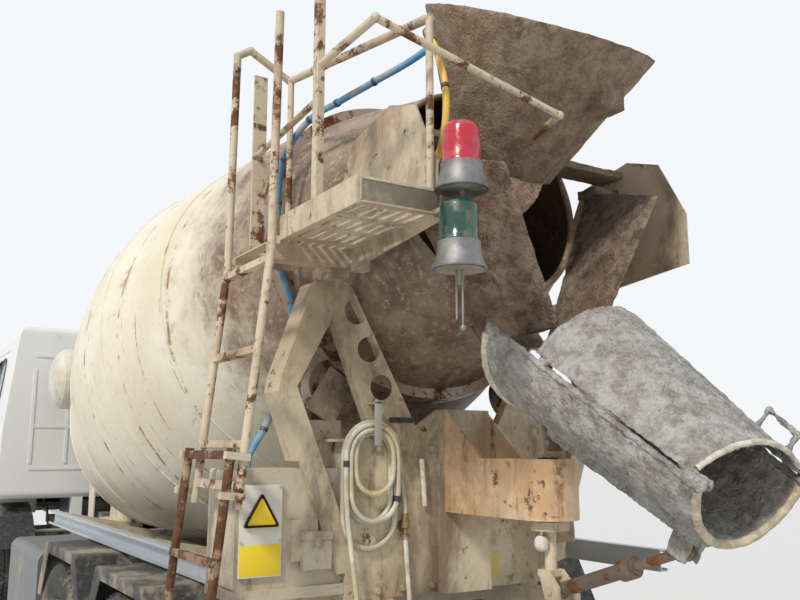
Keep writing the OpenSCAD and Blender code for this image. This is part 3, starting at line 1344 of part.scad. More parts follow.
module door(side) {
  mirror([0, side < 0 ? 1 : 0, 0]) {
    difference() {
      intersection() {
        cab_skin();
        plate_xz(door_outline(door_gap), side_y, side_t);
      }
      plate_xz(window_outline(0), side_y, side_t);
    }
    difference() {
      for (z = hinge_heights) {
        translate([door_front_x + 4, hinge_y, z - 30]) cylinder(r = 14, h = 60);
        block([door_front_x - 110, cab_w / 2 - 3, z - 30], [door_front_x - 12, hinge_y + 2, z + 30]);
        block([door_front_x - 14, cab_w / 2 + 6, z - 30], [door_front_x + 4, hinge_y + 2, z + 30]);
      }
      for (z = hinge_heights) translate([door_front_x + 4, hinge_y, z - 60])
        cylinder(r = 7 + pin_play, h = 120);
    }
    // Handle
    block([door_rear_x + 60, cab_w / 2 - 10, 1800], [door_rear_x + 240, cab_w / 2 + 26, 1830]);
  }
}
module door_pane(side) {
  mirror([0, side < 0 ? 1 : 0, 0]) intersection() {
    difference() {
      cab_solid(14);
      cab_solid(20);
    }
    plate_xz(window_outline(0.3), side_y, side_t);
  }
}
module door_left() { color("#dedcd5") from_pivot() door(1); }
module door_right() { color("#dedcd5") from_pivot() door(-1); }
module door_glass_left() { color([0.4, 0.5, 0.55, 0.5]) from_pivot() door_pane(1); }
module door_glass_right() { color([0.4, 0.5, 0.55, 0.5]) from_pivot() door_pane(-1); }

floor_half = cab_w / 2 - 114;
dash_w = cab_w - 200;
seat_y = cab_w / 2 - 470;
module seat(y) {
  z0 = cab_floor_z + cab_wall + 20;
  block([6700, y - 230, z0], [7150, y + 230, z0 + 330]);
  block([6660, y - 260, z0 + 320], [7170, y + 260, z0 + 450]);
  plate_xz(rounded([[6560, z0 + 430], [6700, z0 + 430], [6640, z0 + 1050], [6520, z0 + 1050]], 40, 4), y,
    480);
  plate_xz(rounded([[6540, z0 + 1040], [6610, z0 + 1040], [6590, z0 + 1230], [6530, z0 + 1230]], 25, 4),
    y, 260);
}
module cab_interior() {
  z0 = cab_floor_z + cab_wall + 0.3;
  color("#3b3c40") from_pivot() {
    block([cab_rear_x + cab_wall + 42, -floor_half, z0], [7880, floor_half, z0 + 22]);
    block([6500, -330, z0 + 20], [7780, 330, z0 + 250]);
    both_sides() seat(seat_y);
    plate_xz(rounded([
      [7560, 1640], [7900, z0 + 10], [7960, z0 + 10], [7975, 1780], [7700, 1830], [7560, 1800]
    ], 30, 4), 0, dash_w);
    translate([7420, seat_y, 1860]) rotate([0, -35, 0]) {
      rotate_extrude() translate([215, 0]) circle(r = 14, $fn = 16);
      for (a = [0, 120, 240]) rotate([0, 90, a]) cylinder(r = 12, h = 212);
      translate([0, 0, -260]) cylinder(r = 30, h = 270);
    }
  }
}

chassis_frame();
front_axle();
drive_axles();
engine_block();
sub_frame();
front_pedestal();
rear_pedestal();
swivel_arm();
charge_hopper();
discharge_collector();
platform();
ladder_rails();
side_rails();
mudguards();
side_tanks();
water_tank();
sign_box();
front_bumper();
lamps();
hoses();
hose_coil();
hose_tail();
cab_shell();
cab_glass();
cab_interior();
door_left();
door_right();
door_glass_left();
door_glass_right();
knuckle_left();
knuckle_right();
front_tyre_left();
front_tyre_right();
front_rim_left();
front_rim_right();
mid_tyres_left();
mid_tyres_right();
mid_rims_left();
mid_rims_right();
rear_tyres_left();
rear_tyres_right();
rear_rims_left();
rear_rims_right();
drum_shell();
roller_track();
roller_left();
roller_right();
chute_swivel();
chute();
chute_extension();
strut_barrel();
strut_rod();
ladder_lower();
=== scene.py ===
from math import cos, pi, radians, sin

import bpy
from mathutils import Matrix, Vector


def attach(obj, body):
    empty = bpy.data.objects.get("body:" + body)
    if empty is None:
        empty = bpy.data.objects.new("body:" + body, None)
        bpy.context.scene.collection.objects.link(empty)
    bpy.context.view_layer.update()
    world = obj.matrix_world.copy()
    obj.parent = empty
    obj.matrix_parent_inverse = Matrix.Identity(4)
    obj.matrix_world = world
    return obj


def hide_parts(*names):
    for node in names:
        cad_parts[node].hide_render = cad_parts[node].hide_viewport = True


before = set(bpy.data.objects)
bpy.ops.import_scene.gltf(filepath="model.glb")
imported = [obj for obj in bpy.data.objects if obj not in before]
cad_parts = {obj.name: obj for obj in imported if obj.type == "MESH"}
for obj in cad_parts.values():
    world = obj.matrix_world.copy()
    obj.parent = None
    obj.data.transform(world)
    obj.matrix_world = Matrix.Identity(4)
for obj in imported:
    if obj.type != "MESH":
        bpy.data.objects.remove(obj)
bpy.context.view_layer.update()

# Camera
# It stands behind the truck on its left, a little over head height, and looks up along the drum,
# as the photograph was taken.
bpy.ops.object.camera_add(location=(-6.1718, 2.3, 1.7), rotation=(radians(99.8), 0, radians(-121.9)))
camera = bpy.context.object
camera.name = "camera"
camera.data.lens = 38.7
camera.data.sensor_width = 36
camera.data.clip_end = 200
bpy.context.scene.camera = camera

# Wash-down hose
# A rubber hose of 22 mm that rises from a tap on the pedestal, is wound into an oval coil of two
# layers on a hook and ends in a spray nozzle that hangs under it.
chute_pivot_x = -3.5717835


def at(x, y, z):
    """A place given in mm from the chute's pivot, in the row frame."""
    return Vector((chute_pivot_x + x / 1000, y / 1000, z / 1000))


def surface(name):
    """Starts a material for the node functions below to work on, and returns it with its shader."""
    global nodes, links, place
    material = bpy.data.materials.new(name)
    material.use_nodes = True
    nodes, links = material.node_tree.nodes, material.node_tree.links
    place = nodes.new("ShaderNodeTexCoord").outputs["Object"]
    return material, nodes["Principled BSDF"]


def tune(node, values):
    """Sets several inputs of a node."""
    for socket, value in values.items():
        node.inputs[socket].default_value = value


def noise(scale, detail=6, roughness=0.6, stretch=(1, 1, 1), warp=0.0, where=None):
    """Clouds over the piece, or over another vector, as a value from 0 to 1."""
    mapping = nodes.new("ShaderNodeMapping")
    mapping.inputs["Scale"].default_value = stretch
    links.new(place if where is None else where, mapping.inputs["Vector"])
    texture = nodes.new("ShaderNodeTexNoise")
    tune(texture, {"Scale": scale, "Detail": detail, "Roughness": roughness, "Distortion": warp})
    links.new(mapping.outputs["Vector"], texture.inputs["Vector"])
    return texture.outputs["Fac"]


def ramp(value, low, high, out_low=0.0, out_high=1.0):
    """Spreads the part of a value between low and high, with soft ends."""
    spread = nodes.new("ShaderNodeMapRange")
    spread.interpolation_type = "SMOOTHSTEP"
    tune(spread, {"From Min": low, "From Max": high, "To Min": out_low, "To Max": out_high})
    links.new(value, spread.inputs["Value"])
    return spread.outputs["Result"]


def calc(operation, a, b):
    node = nodes.new("ShaderNodeMath")
    node.operation = operation
    for socket, value in zip(node.inputs, (a, b)):
        if isinstance(value, (int, float)):
            socket.default_value = value
        else:
            links.new(value, socket)
    return node.outputs["Value"]


def times(a, b):
    return calc("MULTIPLY", a, b)


def plus(a, b):
    return calc("ADD", a, b)


def larger(a, b):
    return calc("MAXIMUM", a, b)


def over(factor, under, top):
    """One colour laid over another by a mask."""
    mix = nodes.new("ShaderNodeMix")
    mix.data_type = "RGBA"
    links.new(factor, mix.inputs[0])
    for socket, colour in ((mix.inputs[6], under), (mix.inputs[7], top)):
        if isinstance(colour, tuple):
            socket.default_value = (*colour, 1)
        else:
            links.new(colour, socket)
    return mix.outputs[2]


def roughen(shader, height, strength, distance):
    bump = nodes.new("ShaderNodeBump")
    tune(bump, {"Strength": strength, "Distance": distance})
    links.new(height, bump.inputs["Height"])
    links.new(bump.outputs["Normal"], shader.inputs["Normal"])


def dusty_rubber(name, rubber, dust, share, faded=None):
    """Rubber under a film of dust, with stretches of another shade where it has faded."""
    material, shader = surface(name)
    if faded:
        rubber = over(ramp(noise(4.5, 2), 0.52, 0.58), rubber, faded)
    film = noise(9, 6, 0.65)
    specks = noise(90, 5, 0.7)
    mask = times(ramp(film, 0.62 - share / 2, 0.82 - share / 2), ramp(specks, 0.25, 0.6, 0.5, 1))
    links.new(over(mask, rubber, dust), shader.inputs["Base Color"])
    links.new(ramp(mask, 0, 1, 0.42, 0.85), shader.inputs["Roughness"])
    roughen(shader, specks, 0.25, 0.0006)
    return material


def tube(name, points, diameter, material, resolution=6):
    """A round hose or rod along the points."""
    curve = bpy.data.curves.new(name, "CURVE")
    curve.dimensions = "3D"
    curve.bevel_depth = diameter / 2
    curve.bevel_resolution = 3
    curve.resolution_u = resolution
    curve.use_fill_caps = True
    spline = curve.splines.new("BEZIER")
    spline.bezier_points.add(len(points) - 1)
    for knot, point in zip(spline.bezier_points, points):
        knot.co = point
        knot.handle_left_type = knot.handle_right_type = "AUTO"
    curve.materials.append(material)
    piece = bpy.data.objects.new(name, curve)
    bpy.context.scene.collection.objects.link(piece)
    return piece


hose_d = 22
coil_y = 455
back_layer_x, front_layer_x = 584, 559
hook_z = 1676
straight_step = 38

# Half turns, over the hook and under the coil by turns, inwards at the back and outwards in front:
# radius, height of the centre, x at the start, x at the end
half_turns = [
    (137.5, hook_z, back_layer_x, back_layer_x), (126, 1417, back_layer_x, back_layer_x),
    (114.5, hook_z, back_layer_x, back_layer_x), (103, 1499, back_layer_x, back_layer_x),
    (91.5, hook_z, back_layer_x, front_layer_x), (91.5, 1603, front_layer_x, front_layer_x),
    (103, hook_z, front_layer_x, front_layer_x), (114.5, 1515, front_layer_x, front_layer_x),
    (126, hook_z, front_layer_x, front_layer_x),
]
arc_steps = 14
tap_x, tap_y = 576, 297
tap_mouth = at(tap_x, tap_y, 1425)
hose_rise = ((0, 1, 1450), (1, 4, 1480), (3, 9, 1515), (5, 15, 1555), (7, 19, 1595), (8, 21, 1636))
hose_route = [tap_mouth] + [at(tap_x + dx, tap_y + dy, z) for dx, dy, z in hose_rise]
y, z = tap_y + 21, hook_z
for half, (radius, centre_z, start_x, end_x) in enumerate(half_turns):
    side = 1 if half % 2 == 0 else -1
    rungs = int(abs(centre_z - z) / straight_step)
    for k in range(1, rungs + 1):
        hose_route.append(at(start_x, y, z + (centre_z - z) * k / (rungs + 1)))
    for k in range(arc_steps + 1):
        angle = pi * k / arc_steps
        shift = max(0, 2 * k / arc_steps - 1)
        arc_x = start_x + (end_x - start_x) * shift
        arc_y = y + side * radius * (1 - cos(angle))
        hose_route.append(at(arc_x, arc_y, centre_z + side * radius * sin(angle)))
    y, z = y + side * 2 * radius, centre_z
hose_route += [at(*point) for point in (
    (559, 593, 1640), (559, 593, 1600), (559, 593, 1560), (558, 592, 1515), (557, 589, 1465),
    (556, 584, 1410), (555, 577, 1350), (553, 567, 1280), (552, 557, 1210), (550, 547, 1140),
    (549, 541, 1090), (548, 538, 1060),
)]
for _ in range(2):
    middles = [(a + 2 * b + c) / 4 for a, b, c in zip(hose_route, hose_route[1:], hose_route[2:])]
    hose_route = [hose_route[0], hose_route[1], *middles[1:-1], hose_route[-2], hose_route[-1]]

hose_material = dusty_rubber("dusty_hose", (0.66, 0.62, 0.50), (0.47, 0.41, 0.32), 0.5, (0.74, 0.62, 0.22))
wash_hose = tube("wash_hose", hose_route, hose_d / 1000, hose_material, 4)


def deselect():
    bpy.ops.object.select_all(action="DESELECT")


def pick(piece):
    """Selects the piece alone and makes it active."""
    deselect()
    piece.select_set(True)
    bpy.context.view_layer.objects.active = piece


def start_piece(name):
    """Names the primitive that was just added, with nothing else selected."""
    piece = bpy.context.object
    piece.name = name
    piece.data.name = name
    return piece


def apply_place():
    bpy.ops.object.transform_apply(location=True, rotation=True, scale=True)


def edit_all():
    """Goes into edit mode with everything selected."""
    bpy.ops.object.mode_set(mode="EDIT")
    bpy.ops.mesh.select_all(action="SELECT")


def leave_edit():
    bpy.ops.object.mode_set(mode="OBJECT")


def settle(piece, material, angle=35):
    """Puts the piece's place into its mesh, gives it its material and smooths what is round."""
    pick(piece)
    apply_place()
    piece.data.materials.clear()
    piece.data.materials.append(material)
    bpy.ops.object.shade_smooth_by_angle(angle=radians(angle))
    return piece


def as_mesh(piece):
    """Turns a curve piece into a mesh."""
    pick(piece)
    bpy.ops.object.convert(target="MESH")


def bevel_edges(piece, width, segments=2):
    """Rounds the piece's sharp edges."""
    edge = piece.modifiers.new("edges", "BEVEL")
    edge.width = width
    edge.segments = segments
    edge.limit_method = "ANGLE"
    edge.angle_limit = radians(30)
    bpy.context.view_layer.objects.active = piece
    bpy.ops.object.modifier_apply(modifier=edge.name)


def mount(body, slot, *pieces):
    """Lets pieces ride on a body. The slot argument is not used."""
    for piece in pieces:
        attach(piece, body)


def bar(name, low, high, material, edge=0.002):
    """A block between two corners with broken edges."""
    centre, size = (low + high) / 2, high - low
    deselect()
    bpy.ops.mesh.primitive_cube_add(size=1, location=centre)
    piece = start_piece(name)
    piece.scale = size
    apply_place()
    bevel_edges(piece, edge)
    return settle(piece, material)


def join_all(pieces, name):
    """Makes one piece of several."""
    deselect()
    for piece in pieces:
        piece.select_set(True)
    bpy.context.view_layer.objects.active = pieces[0]
    bpy.ops.object.join()
    return start_piece(name)


def point_along(direction):
    """The turn that brings the Z axis round to the direction."""
    return Vector(direction).to_track_quat("Z", "Y")


def turned(name, start, profile, direction, material, vertices=32, angle=35, ring=False):
    """A round piece with the profile (run, radius), shut at its start or closed as a ring."""
    deselect()
    bpy.ops.mesh.primitive_circle_add(vertices=vertices, radius=profile[0][1],
        location=(0, 0, profile[0][0]), fill_type="NOTHING" if ring else "NGON")
    piece = start_piece(name)
    apply_place()
    edit_all()
    for (run, radius), (next_run, next_radius) in zip(profile, profile[1:]):
        bpy.ops.mesh.extrude_region_move(TRANSFORM_OT_translate={"value": (0, 0, next_run - run)})
        grow = next_radius / radius
        bpy.ops.transform.resize(value=(grow, grow, 1), center_override=(0, 0, next_run))
    if not ring:
        bpy.ops.mesh.edge_face_add()
    bpy.ops.mesh.select_all(action="SELECT")
    bpy.ops.mesh.remove_doubles(threshold=0.00001)
    bpy.ops.mesh.normals_make_consistent(inside=False)
    leave_edit()
    piece.matrix_world = Matrix.Translation(start) @ point_along(direction).to_matrix().to_4x4()
    return settle(piece, material, angle)


brass, shader = surface("dull_brass")
tarnish = noise(40, 6)
links.new(over(tarnish, (0.42, 0.30, 0.12), (0.20, 0.15, 0.08)), shader.inputs["Base Color"])
shader.inputs["Metallic"].default_value = 0.9
links.new(ramp(tarnish, 0.3, 0.7, 0.35, 0.65), shader.inputs["Roughness"])

nozzle_profile = [
    (0, 0.010), (0, 0.017), (0.030, 0.017), (0.034, 0.012), (0.085, 0.010), (0.090, 0.014),
    (0.105, 0.014), (0.105, 0.006), (0.098, 0.005),
]
tap_profile = [
    (0, 0.012), (0, 0.015), (0.030, 0.015), (0.034, 0.019), (0.060, 0.019), (0.064, 0.010),
    (0.085, 0.010), (0.087, 0.022), (0.097, 0.022), (0.097, 0.004),
]
down = (0, 0, -1)
nozzle = turned("wash_nozzle", hose_route[-1] + Vector((0, 0, 0.012)), nozzle_profile, down, brass, 24)
tap = turned("wash_tap", tap_mouth + Vector((0, 0, 0.004)), tap_profile, down, brass, 24)
tap_stem = turned("wash_tap_stem", at(600, tap_y, 1376),
    [(0, 0.026), (0.004, 0.026), (0.004, 0.012), (0.024, 0.012)], (-1, 0, 0), brass, 24)
tap = join_all([tap, tap_stem], "wash_tap")
tape, shader = surface("black_tape")
tune(shader, {"Base Color": (0.05, 0.048, 0.045, 1), "Roughness": 0.6})


def bands(name, route, places, diameter, length, material):
    """Short sleeves round a hose, each at a point of its route."""
    sleeves = []
    for k in places:
        way = (route[k + 1] - route[k]).normalized()
        deselect()
        bpy.ops.mesh.primitive_cylinder_add(vertices=20, radius=diameter / 2, depth=length,
            location=route[k], rotation=point_along(way).to_euler())
        sleeve = start_piece(name)
        bevel_edges(sleeve, 0.001, 1)
        sleeves.append(settle(sleeve, material))
    return join_all(sleeves, name)


tape_bands = bands("hose_tape", hose_route, (44, 151, 172), 0.0245, 0.026, tape)
mount("truck", "cord_rubber", wash_hose, nozzle)
mount("truck", "jack_steel", tap)
mount("truck", "cord_rubber", tape_bands)
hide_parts("hose_coil", "hose_tail")

# Water and air hoses
# A blue hose of 30 mm climbs from the side rail to the hopper's spray ring, and a yellow one of 26 mm
# hangs from the hopper down to the lamps' bracket. Both are clipped along their way.
blue_hose_route = [at(*p) for p in (
    (800, 925, 1620.6), (800, 924, 1660), (798, 900, 1710), (792, 860, 1780), (796, 760, 2030),
    (806, 740, 2330), (862, 772, 2490), (900, 775, 2800), (880, 760, 3000), (740, 700, 3160),
    (590, 640, 3200), (370, 580, 3230), (230, 500, 3280), (150, 440, 3330),
)]
yellow_hose_route = [at(*p) for p in (
    (-70, 633.4, 2610), (-110, 600, 2720), (-170, 600, 2830), (-180, 600, 3000), (-130, 590, 3120),
    (-70, 580, 3230), (0, 560, 3300), (60, 520, 3320),
)]
blue_hose = tube("blue_water_hose", blue_hose_route, 0.030,
    dusty_rubber("blue_hose", (0.07, 0.28, 0.50), (0.42, 0.40, 0.34), 0.35), 10)
yellow_hose = tube("yellow_air_hose", yellow_hose_route, 0.026,
    dusty_rubber("yellow_hose", (0.78, 0.50, 0.08), (0.50, 0.42, 0.26), 0.3), 10)
mount("truck", "hose_rubber", blue_hose, yellow_hose)
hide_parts("hoses")
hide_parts("hoses")

# Studio
# A plain pale floor, a soft key light from behind on the left and an even white surround.
floor_material, shader = surface("studio_floor")
tune(shader, {"Base Color": (0.72, 0.71, 0.69, 1), "Roughness": 0.9})
deselect()
bpy.ops.mesh.primitive_plane_add(size=160)
floor = start_piece("studio_floor")
floor.data.materials.append(floor_material)

bpy.ops.object.light_add(type="SUN",
    rotation=Vector((0.42, -0.80, -0.80)).to_track_quat("-Z", "Y").to_euler())
key = bpy.context.object
key.name = "key_light"
key.data.energy = 2.5
key.data.angle = radians(9)
key.data.color = (1.0, 0.965, 0.91)

world = bpy.data.worlds.new("studio")
bpy.context.scene.world = world
world.use_nodes = True
nodes, links = world.node_tree.nodes, world.node_tree.links
fill = nodes["Background"]
tune(fill, {"Color": (0.86, 0.93, 1.0, 1), "Strength": 0.62})
seen = nodes.new("ShaderNodeBackground")
seen.inputs["Color"].default_value = (0.90, 0.93, 0.96, 1)
rays = nodes.new("ShaderNodeLightPath")
either = larger(rays.outputs["Is Camera Ray"], rays.outputs["Is Glossy Ray"])
either = larger(either, rays.outputs["Is Transmission Ray"])
mix = nodes.new("ShaderNodeMixShader")
links.new(either, mix.inputs["Fac"])
links.new(fill.outputs["Background"], mix.inputs[1])
links.new(seen.outputs["Background"], mix.inputs[2])
links.new(mix.outputs["Shader"], nodes["World Output"].inputs["Surface"])
bpy.context.scene.view_settings.view_transform = "Standard"

# Chassis, axles and engine
# Pressed channel rails with cross members, painted black and grey with road dust, and cast axles
# under leaf springs. Hexagon bolts hold the brackets to the rails' webs.


def weathered(name, paint, dust, rust, dusty=0.5, rusty=0.3, rough=0.5, metal=0.0, run_down=0.0, grain=0.35,
        grime=0.0):
    """Worn paint: blotches of dust, rust that breaks through in spots and runs, and a fine grain."""
    material, shader = surface(name)
    blotch = noise(1.7, 8, 0.62)
    speck = noise(34, 8, 0.68)
    film = ramp(blotch, 0.72 - dusty * 0.5, 0.95 - dusty * 0.5)
    film = plus(film, ramp(speck, 0.42, 0.72, 0, dusty * 0.55))
    colour = over(ramp(film, 0, 1, 0, 0.92), paint, dust)
    if grime:
        soil = noise(2.6, 12, 0.72, (1, 1, 0.45), 0.6)
        splash = noise(19, 8, 0.7)
        soil = larger(ramp(soil, 0.47, 0.66, 0, grime), ramp(splash, 0.60, 0.68, 0, grime * 0.9))
        colour = over(soil, colour, (0.165, 0.115, 0.075))
    spots = noise(7.5, 12, 0.74)
    edge = 0.74 - rusty * 0.28
    mask = ramp(spots, edge, edge + 0.06)
    if run_down:
        streak = noise(13, 8, 0.6, (1, 1, 0.09))
        streak = ramp(streak, 0.70 - run_down * 0.22, 0.86 - run_down * 0.22, 0, 0.75)
        mask = larger(mask, times(streak, ramp(speck, 0.3, 0.6)))
    tone = over(ramp(speck, 0.35, 0.65), rust, tuple(c * 0.42 for c in rust))
    links.new(over(mask, colour, tone), shader.inputs["Base Color"])
    dull = larger(ramp(film, 0, 1, rough, min(rough + 0.35, 0.95)), ramp(mask, 0, 1, 0, 0.88))
    links.new(dull, shader.inputs["Roughness"])
    shader.inputs["Metallic"].default_value = metal
    height = plus(times(film, 0.4), times(speck, 0.6))
    roughen(shader, calc("SUBTRACT", height, times(mask, 0.25)), grain, 0.004)
    return material


def dress(material, *names):
    for name in names:
        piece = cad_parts[name]
        for slot in piece.material_slots:
            slot.material = material


def copies(source, name, places):
    """Copies of a finished piece, each with its own mesh, made into one piece. The source is used up."""
    pieces = []
    for place in places:
        piece = source.copy()
        piece.data = source.data.copy()
        piece.matrix_world = place
        bpy.context.scene.collection.objects.link(piece)
        pieces.append(piece)
    bpy.data.objects.remove(source)
    piece = join_all(pieces, name)
    apply_place()
    return piece


def bolt_heads(name, places, direction, across, material, body, slot):
    """Hexagon bolt heads with washers, standing on a face that looks along the direction."""
    height = across * 0.42
    deselect()
    bpy.ops.mesh.primitive_cylinder_add(vertices=6, radius=across / 2 / cos(pi / 6), depth=height,
        location=(0, 0, 0.003 + height / 2))
    head = start_piece(name)
    bevel_edges(head, across * 0.06, 1)
    bpy.ops.mesh.primitive_cylinder_add(vertices=16, radius=across * 0.75, depth=0.004,
        location=(0, 0, 0.001))
    washer = start_piece("washer")
    bolt = settle(join_all([head, washer], name), material)
    turn = point_along(direction).to_matrix().to_4x4()
    piece = copies(bolt, name, [Matrix.Translation(p) @ turn for p in places])
    mount(body, slot, piece)
    return piece


road_dust = (0.40, 0.35, 0.27)
rust = (0.26, 0.10, 0.035)
chassis_black = weathered("chassis_black", (0.030, 0.030, 0.032), road_dust, rust, dusty=0.75, rusty=0.35,
    rough=0.55)
axle_black = weathered("axle_black", (0.035, 0.034, 0.034), road_dust, rust, dusty=0.65, rusty=0.5)
engine_grey = weathered("engine_grey", (0.16, 0.165, 0.165), road_dust, rust, dusty=0.45, rusty=0.4,
    metal=0.2)
dress(chassis_black, "chassis_frame")
dress(axle_black, "front_axle", "drive_axles", "knuckle_left", "knuckle_right")
dress(engine_grey, "engine_block")

rail_y = 430
bracket_x = (345, 1225, 2320, 3545, 4745, 5845)
for side_name, side in (("left", 1), ("right", -1)):
    places = [at(x + dx, side * (rail_y + 0.3), z) for x in bracket_x for dx in (-30, 30)
        for z in (800, 890)]
    bolt_heads("rail_bolts_" + side_name, places, (0, side, 0), 0.024, chassis_black, "truck",
        "frame_black")

# Drum
# Rolled and welded cones of sheet steel. Off-white paint has chalked and rust has come through along
# the spiral that the mixing blades are welded to inside, and along the seams.
tilt = radians(12)
drum_point = at(3100, 0, 2250)
drum_back = Vector((-cos(tilt), 0, sin(tilt)))
drum_paint, shader = surface("drum_paint")
centred = nodes.new("ShaderNodeMapping")
centred.vector_type = "TEXTURE"
tune(centred, {"Location": drum_point, "Rotation": (0, tilt - pi / 2, 0)})
links.new(place, centred.inputs["Vector"])
split = nodes.new("ShaderNodeSeparateXYZ")
links.new(centred.outputs["Vector"], split.inputs["Vector"])
turn_angle = calc("DIVIDE", calc("ARCTAN2", split.outputs["Y"], split.outputs["X"]), 2 * pi)
wobble = times(noise(1.3, 5), 0.05)
blotch = noise(1.4, 9, 0.65)
speck = noise(26, 10, 0.72)
spots = noise(6, 12, 0.75)
stretched = noise(9, 9, 0.66, (1, 1, 0.35), where=centred.outputs["Vector"])


def blade_line(pitch, start, width):
    """A mask along one helix round the drum: 1 on the weld, falling to 0 beside it."""
    run = plus(calc("DIVIDE", split.outputs["Z"], pitch), start)
    run = plus(plus(run, turn_angle), wobble)
    wave = calc("ABSOLUTE", calc("SUBTRACT", calc("FRACT", run, 0), 0.5), 0)
    return ramp(wave, width / pitch, 0.0)


lines = larger(blade_line(1.05, 0.0, 0.022), blade_line(1.05, 0.5, 0.018))
scratches = larger(blade_line(0.41, 0.27, 0.008), blade_line(0.63, 0.71, 0.010))
halo = larger(blade_line(1.05, 0.03, 0.17), blade_line(1.05, 0.53, 0.14))
seam_rust = times(lines, ramp(stretched, 0.46, 0.60, 0, 0.95))
scratches = times(scratches, ramp(spots, 0.50, 0.60, 0, 0.8))
seam_rust = larger(seam_rust, scratches)
rust_dots = times(ramp(speck, 0.64, 0.70, 0, 0.85), ramp(blotch, 0.46, 0.60))
seam_rust = larger(seam_rust, rust_dots)
halo_rust = times(halo, ramp(stretched, 0.56, 0.68, 0, 0.55))
flakes = ramp(spots, 0.655, 0.69, 0, 0.95)
flakes = times(flakes, ramp(blotch, 0.42, 0.62))
stain = larger(larger(seam_rust, halo_rust), flakes)
chalk = over(ramp(blotch, 0.35, 0.66), (0.80, 0.75, 0.62), (0.70, 0.62, 0.46))
chalk = over(ramp(speck, 0.50, 0.75, 0, 0.55), chalk, (0.56, 0.49, 0.37))
tone = over(ramp(speck, 0.38, 0.62), (0.36, 0.15, 0.05), (0.16, 0.07, 0.03))
drum_colour = over(stain, chalk, tone)
reach = plus(split.outputs["Z"], times(spots, 0.9))
reach = plus(reach, times(blotch, 0.5))
slurry = ramp(reach, 2.02, 2.70, 0, 0.94)
mud = over(ramp(spots, 0.40, 0.62), (0.27, 0.185, 0.115), (0.13, 0.065, 0.035))
mud = over(ramp(speck, 0.52, 0.66, 0, 0.8), mud, (0.44, 0.37, 0.27))
links.new(over(slurry, drum_colour, mud), shader.inputs["Base Color"])
links.new(ramp(stain, 0, 1, 0.5, 0.88), shader.inputs["Roughness"])
weld = plus(times(lines, 0.9), times(times(slurry, spots), 3))
roughen(shader, plus(weld, times(speck, 0.35)), 0.35, 0.004)
dress(drum_paint, "drum_shell")

seams = []
for run, radius in ((-1.500, 0.895), (-0.560, 1.085), (0.560, 1.148), (1.225, 1.0)):
    deselect()
    bpy.ops.mesh.primitive_torus_add(major_segments=120, minor_segments=6, major_radius=radius + 0.001,
        minor_radius=0.005, location=drum_point + drum_back * run,
        rotation=point_along(drum_back).to_euler())
    seams.append(settle(start_piece(f"drum_seam_{len(seams)}"), drum_paint, 60))
drum_seams = join_all(seams, "drum_seams")
mount("drum", "drum_paint", drum_seams)

# Roller track and rollers
# The drum's mouth runs with a rolled steel ring on two rollers: bright where it rolls, rusty beside.
track_steel = weathered("track_steel", (0.33, 0.25, 0.20), (0.38, 0.27, 0.18), (0.24, 0.09, 0.03),
    dusty=0.4, rusty=0.85, rough=0.38, metal=0.65)
dress(track_steel, "roller_track", "roller_left", "roller_right")

# Subframe and pedestals
# Fabricated steel plate, painted cream, under cement dust, with rust at the edges and runs of slurry.
old_cream = (0.62, 0.52, 0.36)
cream_paint = weathered("cream_paint", old_cream, (0.42, 0.33, 0.22), (0.20, 0.08, 0.03), dusty=0.62,
    rusty=0.45, rough=0.65, run_down=0.7, grain=0.8, grime=0.85)
arm_paint = weathered("arm_paint", (0.66, 0.50, 0.32), (0.52, 0.32, 0.17), (0.20, 0.07, 0.025), dusty=0.6,
    rusty=0.62, rough=0.6, run_down=0.75, grain=0.6, grime=0.35)
clean_cream = weathered("clean_cream_paint", (0.64, 0.56, 0.41), (0.46, 0.38, 0.27), (0.24, 0.10, 0.04),
    dusty=0.45, run_down=0.4, grain=0.4, grime=0.45)
dress(clean_cream, "sub_frame", "front_pedestal")
dress(cream_paint, "rear_pedestal", "chute_swivel")
dress(arm_paint, "swivel_arm")
plate_x = 600
strut_bolts = [at(plate_x - 0.3, side * y, z) for side in (-1, 1) for y in (150, 300, 420, 530)
    for z in (1120, 1700)]
bolt_heads("pedestal_bolts", strut_bolts, (-1, 0, 0), 0.024, cream_paint, "truck", "body_cream")

# Charge hopper and discharge collector
# Steel funnels that concrete has built up on for years: a thick brown and grey crust over the paint.


def crusted(name, paint, crust, dark, cover, lump):
    """Paint under a crust of dried concrete with clods, grit and pits."""
    material, shader = surface(name)
    broad = noise(2.4, 9, 0.62)
    clods = noise(15, 10, 0.68, warp=0.4)
    grit = noise(85, 8, 0.75)
    pits = nodes.new("ShaderNodeTexVoronoi")
    pits.inputs["Scale"].default_value = 62
    links.new(place, pits.inputs["Vector"])
    mask = ramp(broad, 0.72 - cover * 0.5, 0.86 - cover * 0.5)
    tone = over(ramp(clods, 0.36, 0.64), crust, dark)
    tone = over(ramp(grit, 0.45, 0.75, 0, 0.6), tone, tuple(min(1, c * 1.35) for c in crust))
    links.new(over(mask, paint, tone), shader.inputs["Base Color"])
    links.new(ramp(mask, 0, 1, 0.6, 0.9), shader.inputs["Roughness"])
    height = plus(times(clods, 1.2), times(grit, 0.30))
    height = plus(height, ramp(pits.outputs["Distance"], 0, 0.5, 0, 0.25))
    roughen(shader, times(height, ramp(mask, 0, 1, 0.35, 1)), min(0.55 * lump, 1), 0.012 * lump)
    return material


hopper_crust = crusted("hopper_crust", (0.36, 0.25, 0.16), (0.36, 0.27, 0.185), (0.20, 0.135, 0.085),
    cover=0.9, lump=1.6)
collector_crust = crusted("collector_crust", (0.20, 0.11, 0.065), (0.30, 0.225, 0.16), (0.10, 0.06, 0.04),
    cover=0.75, lump=1.6)
dress(hopper_crust, "charge_hopper")
dress(collector_crust, "discharge_collector")

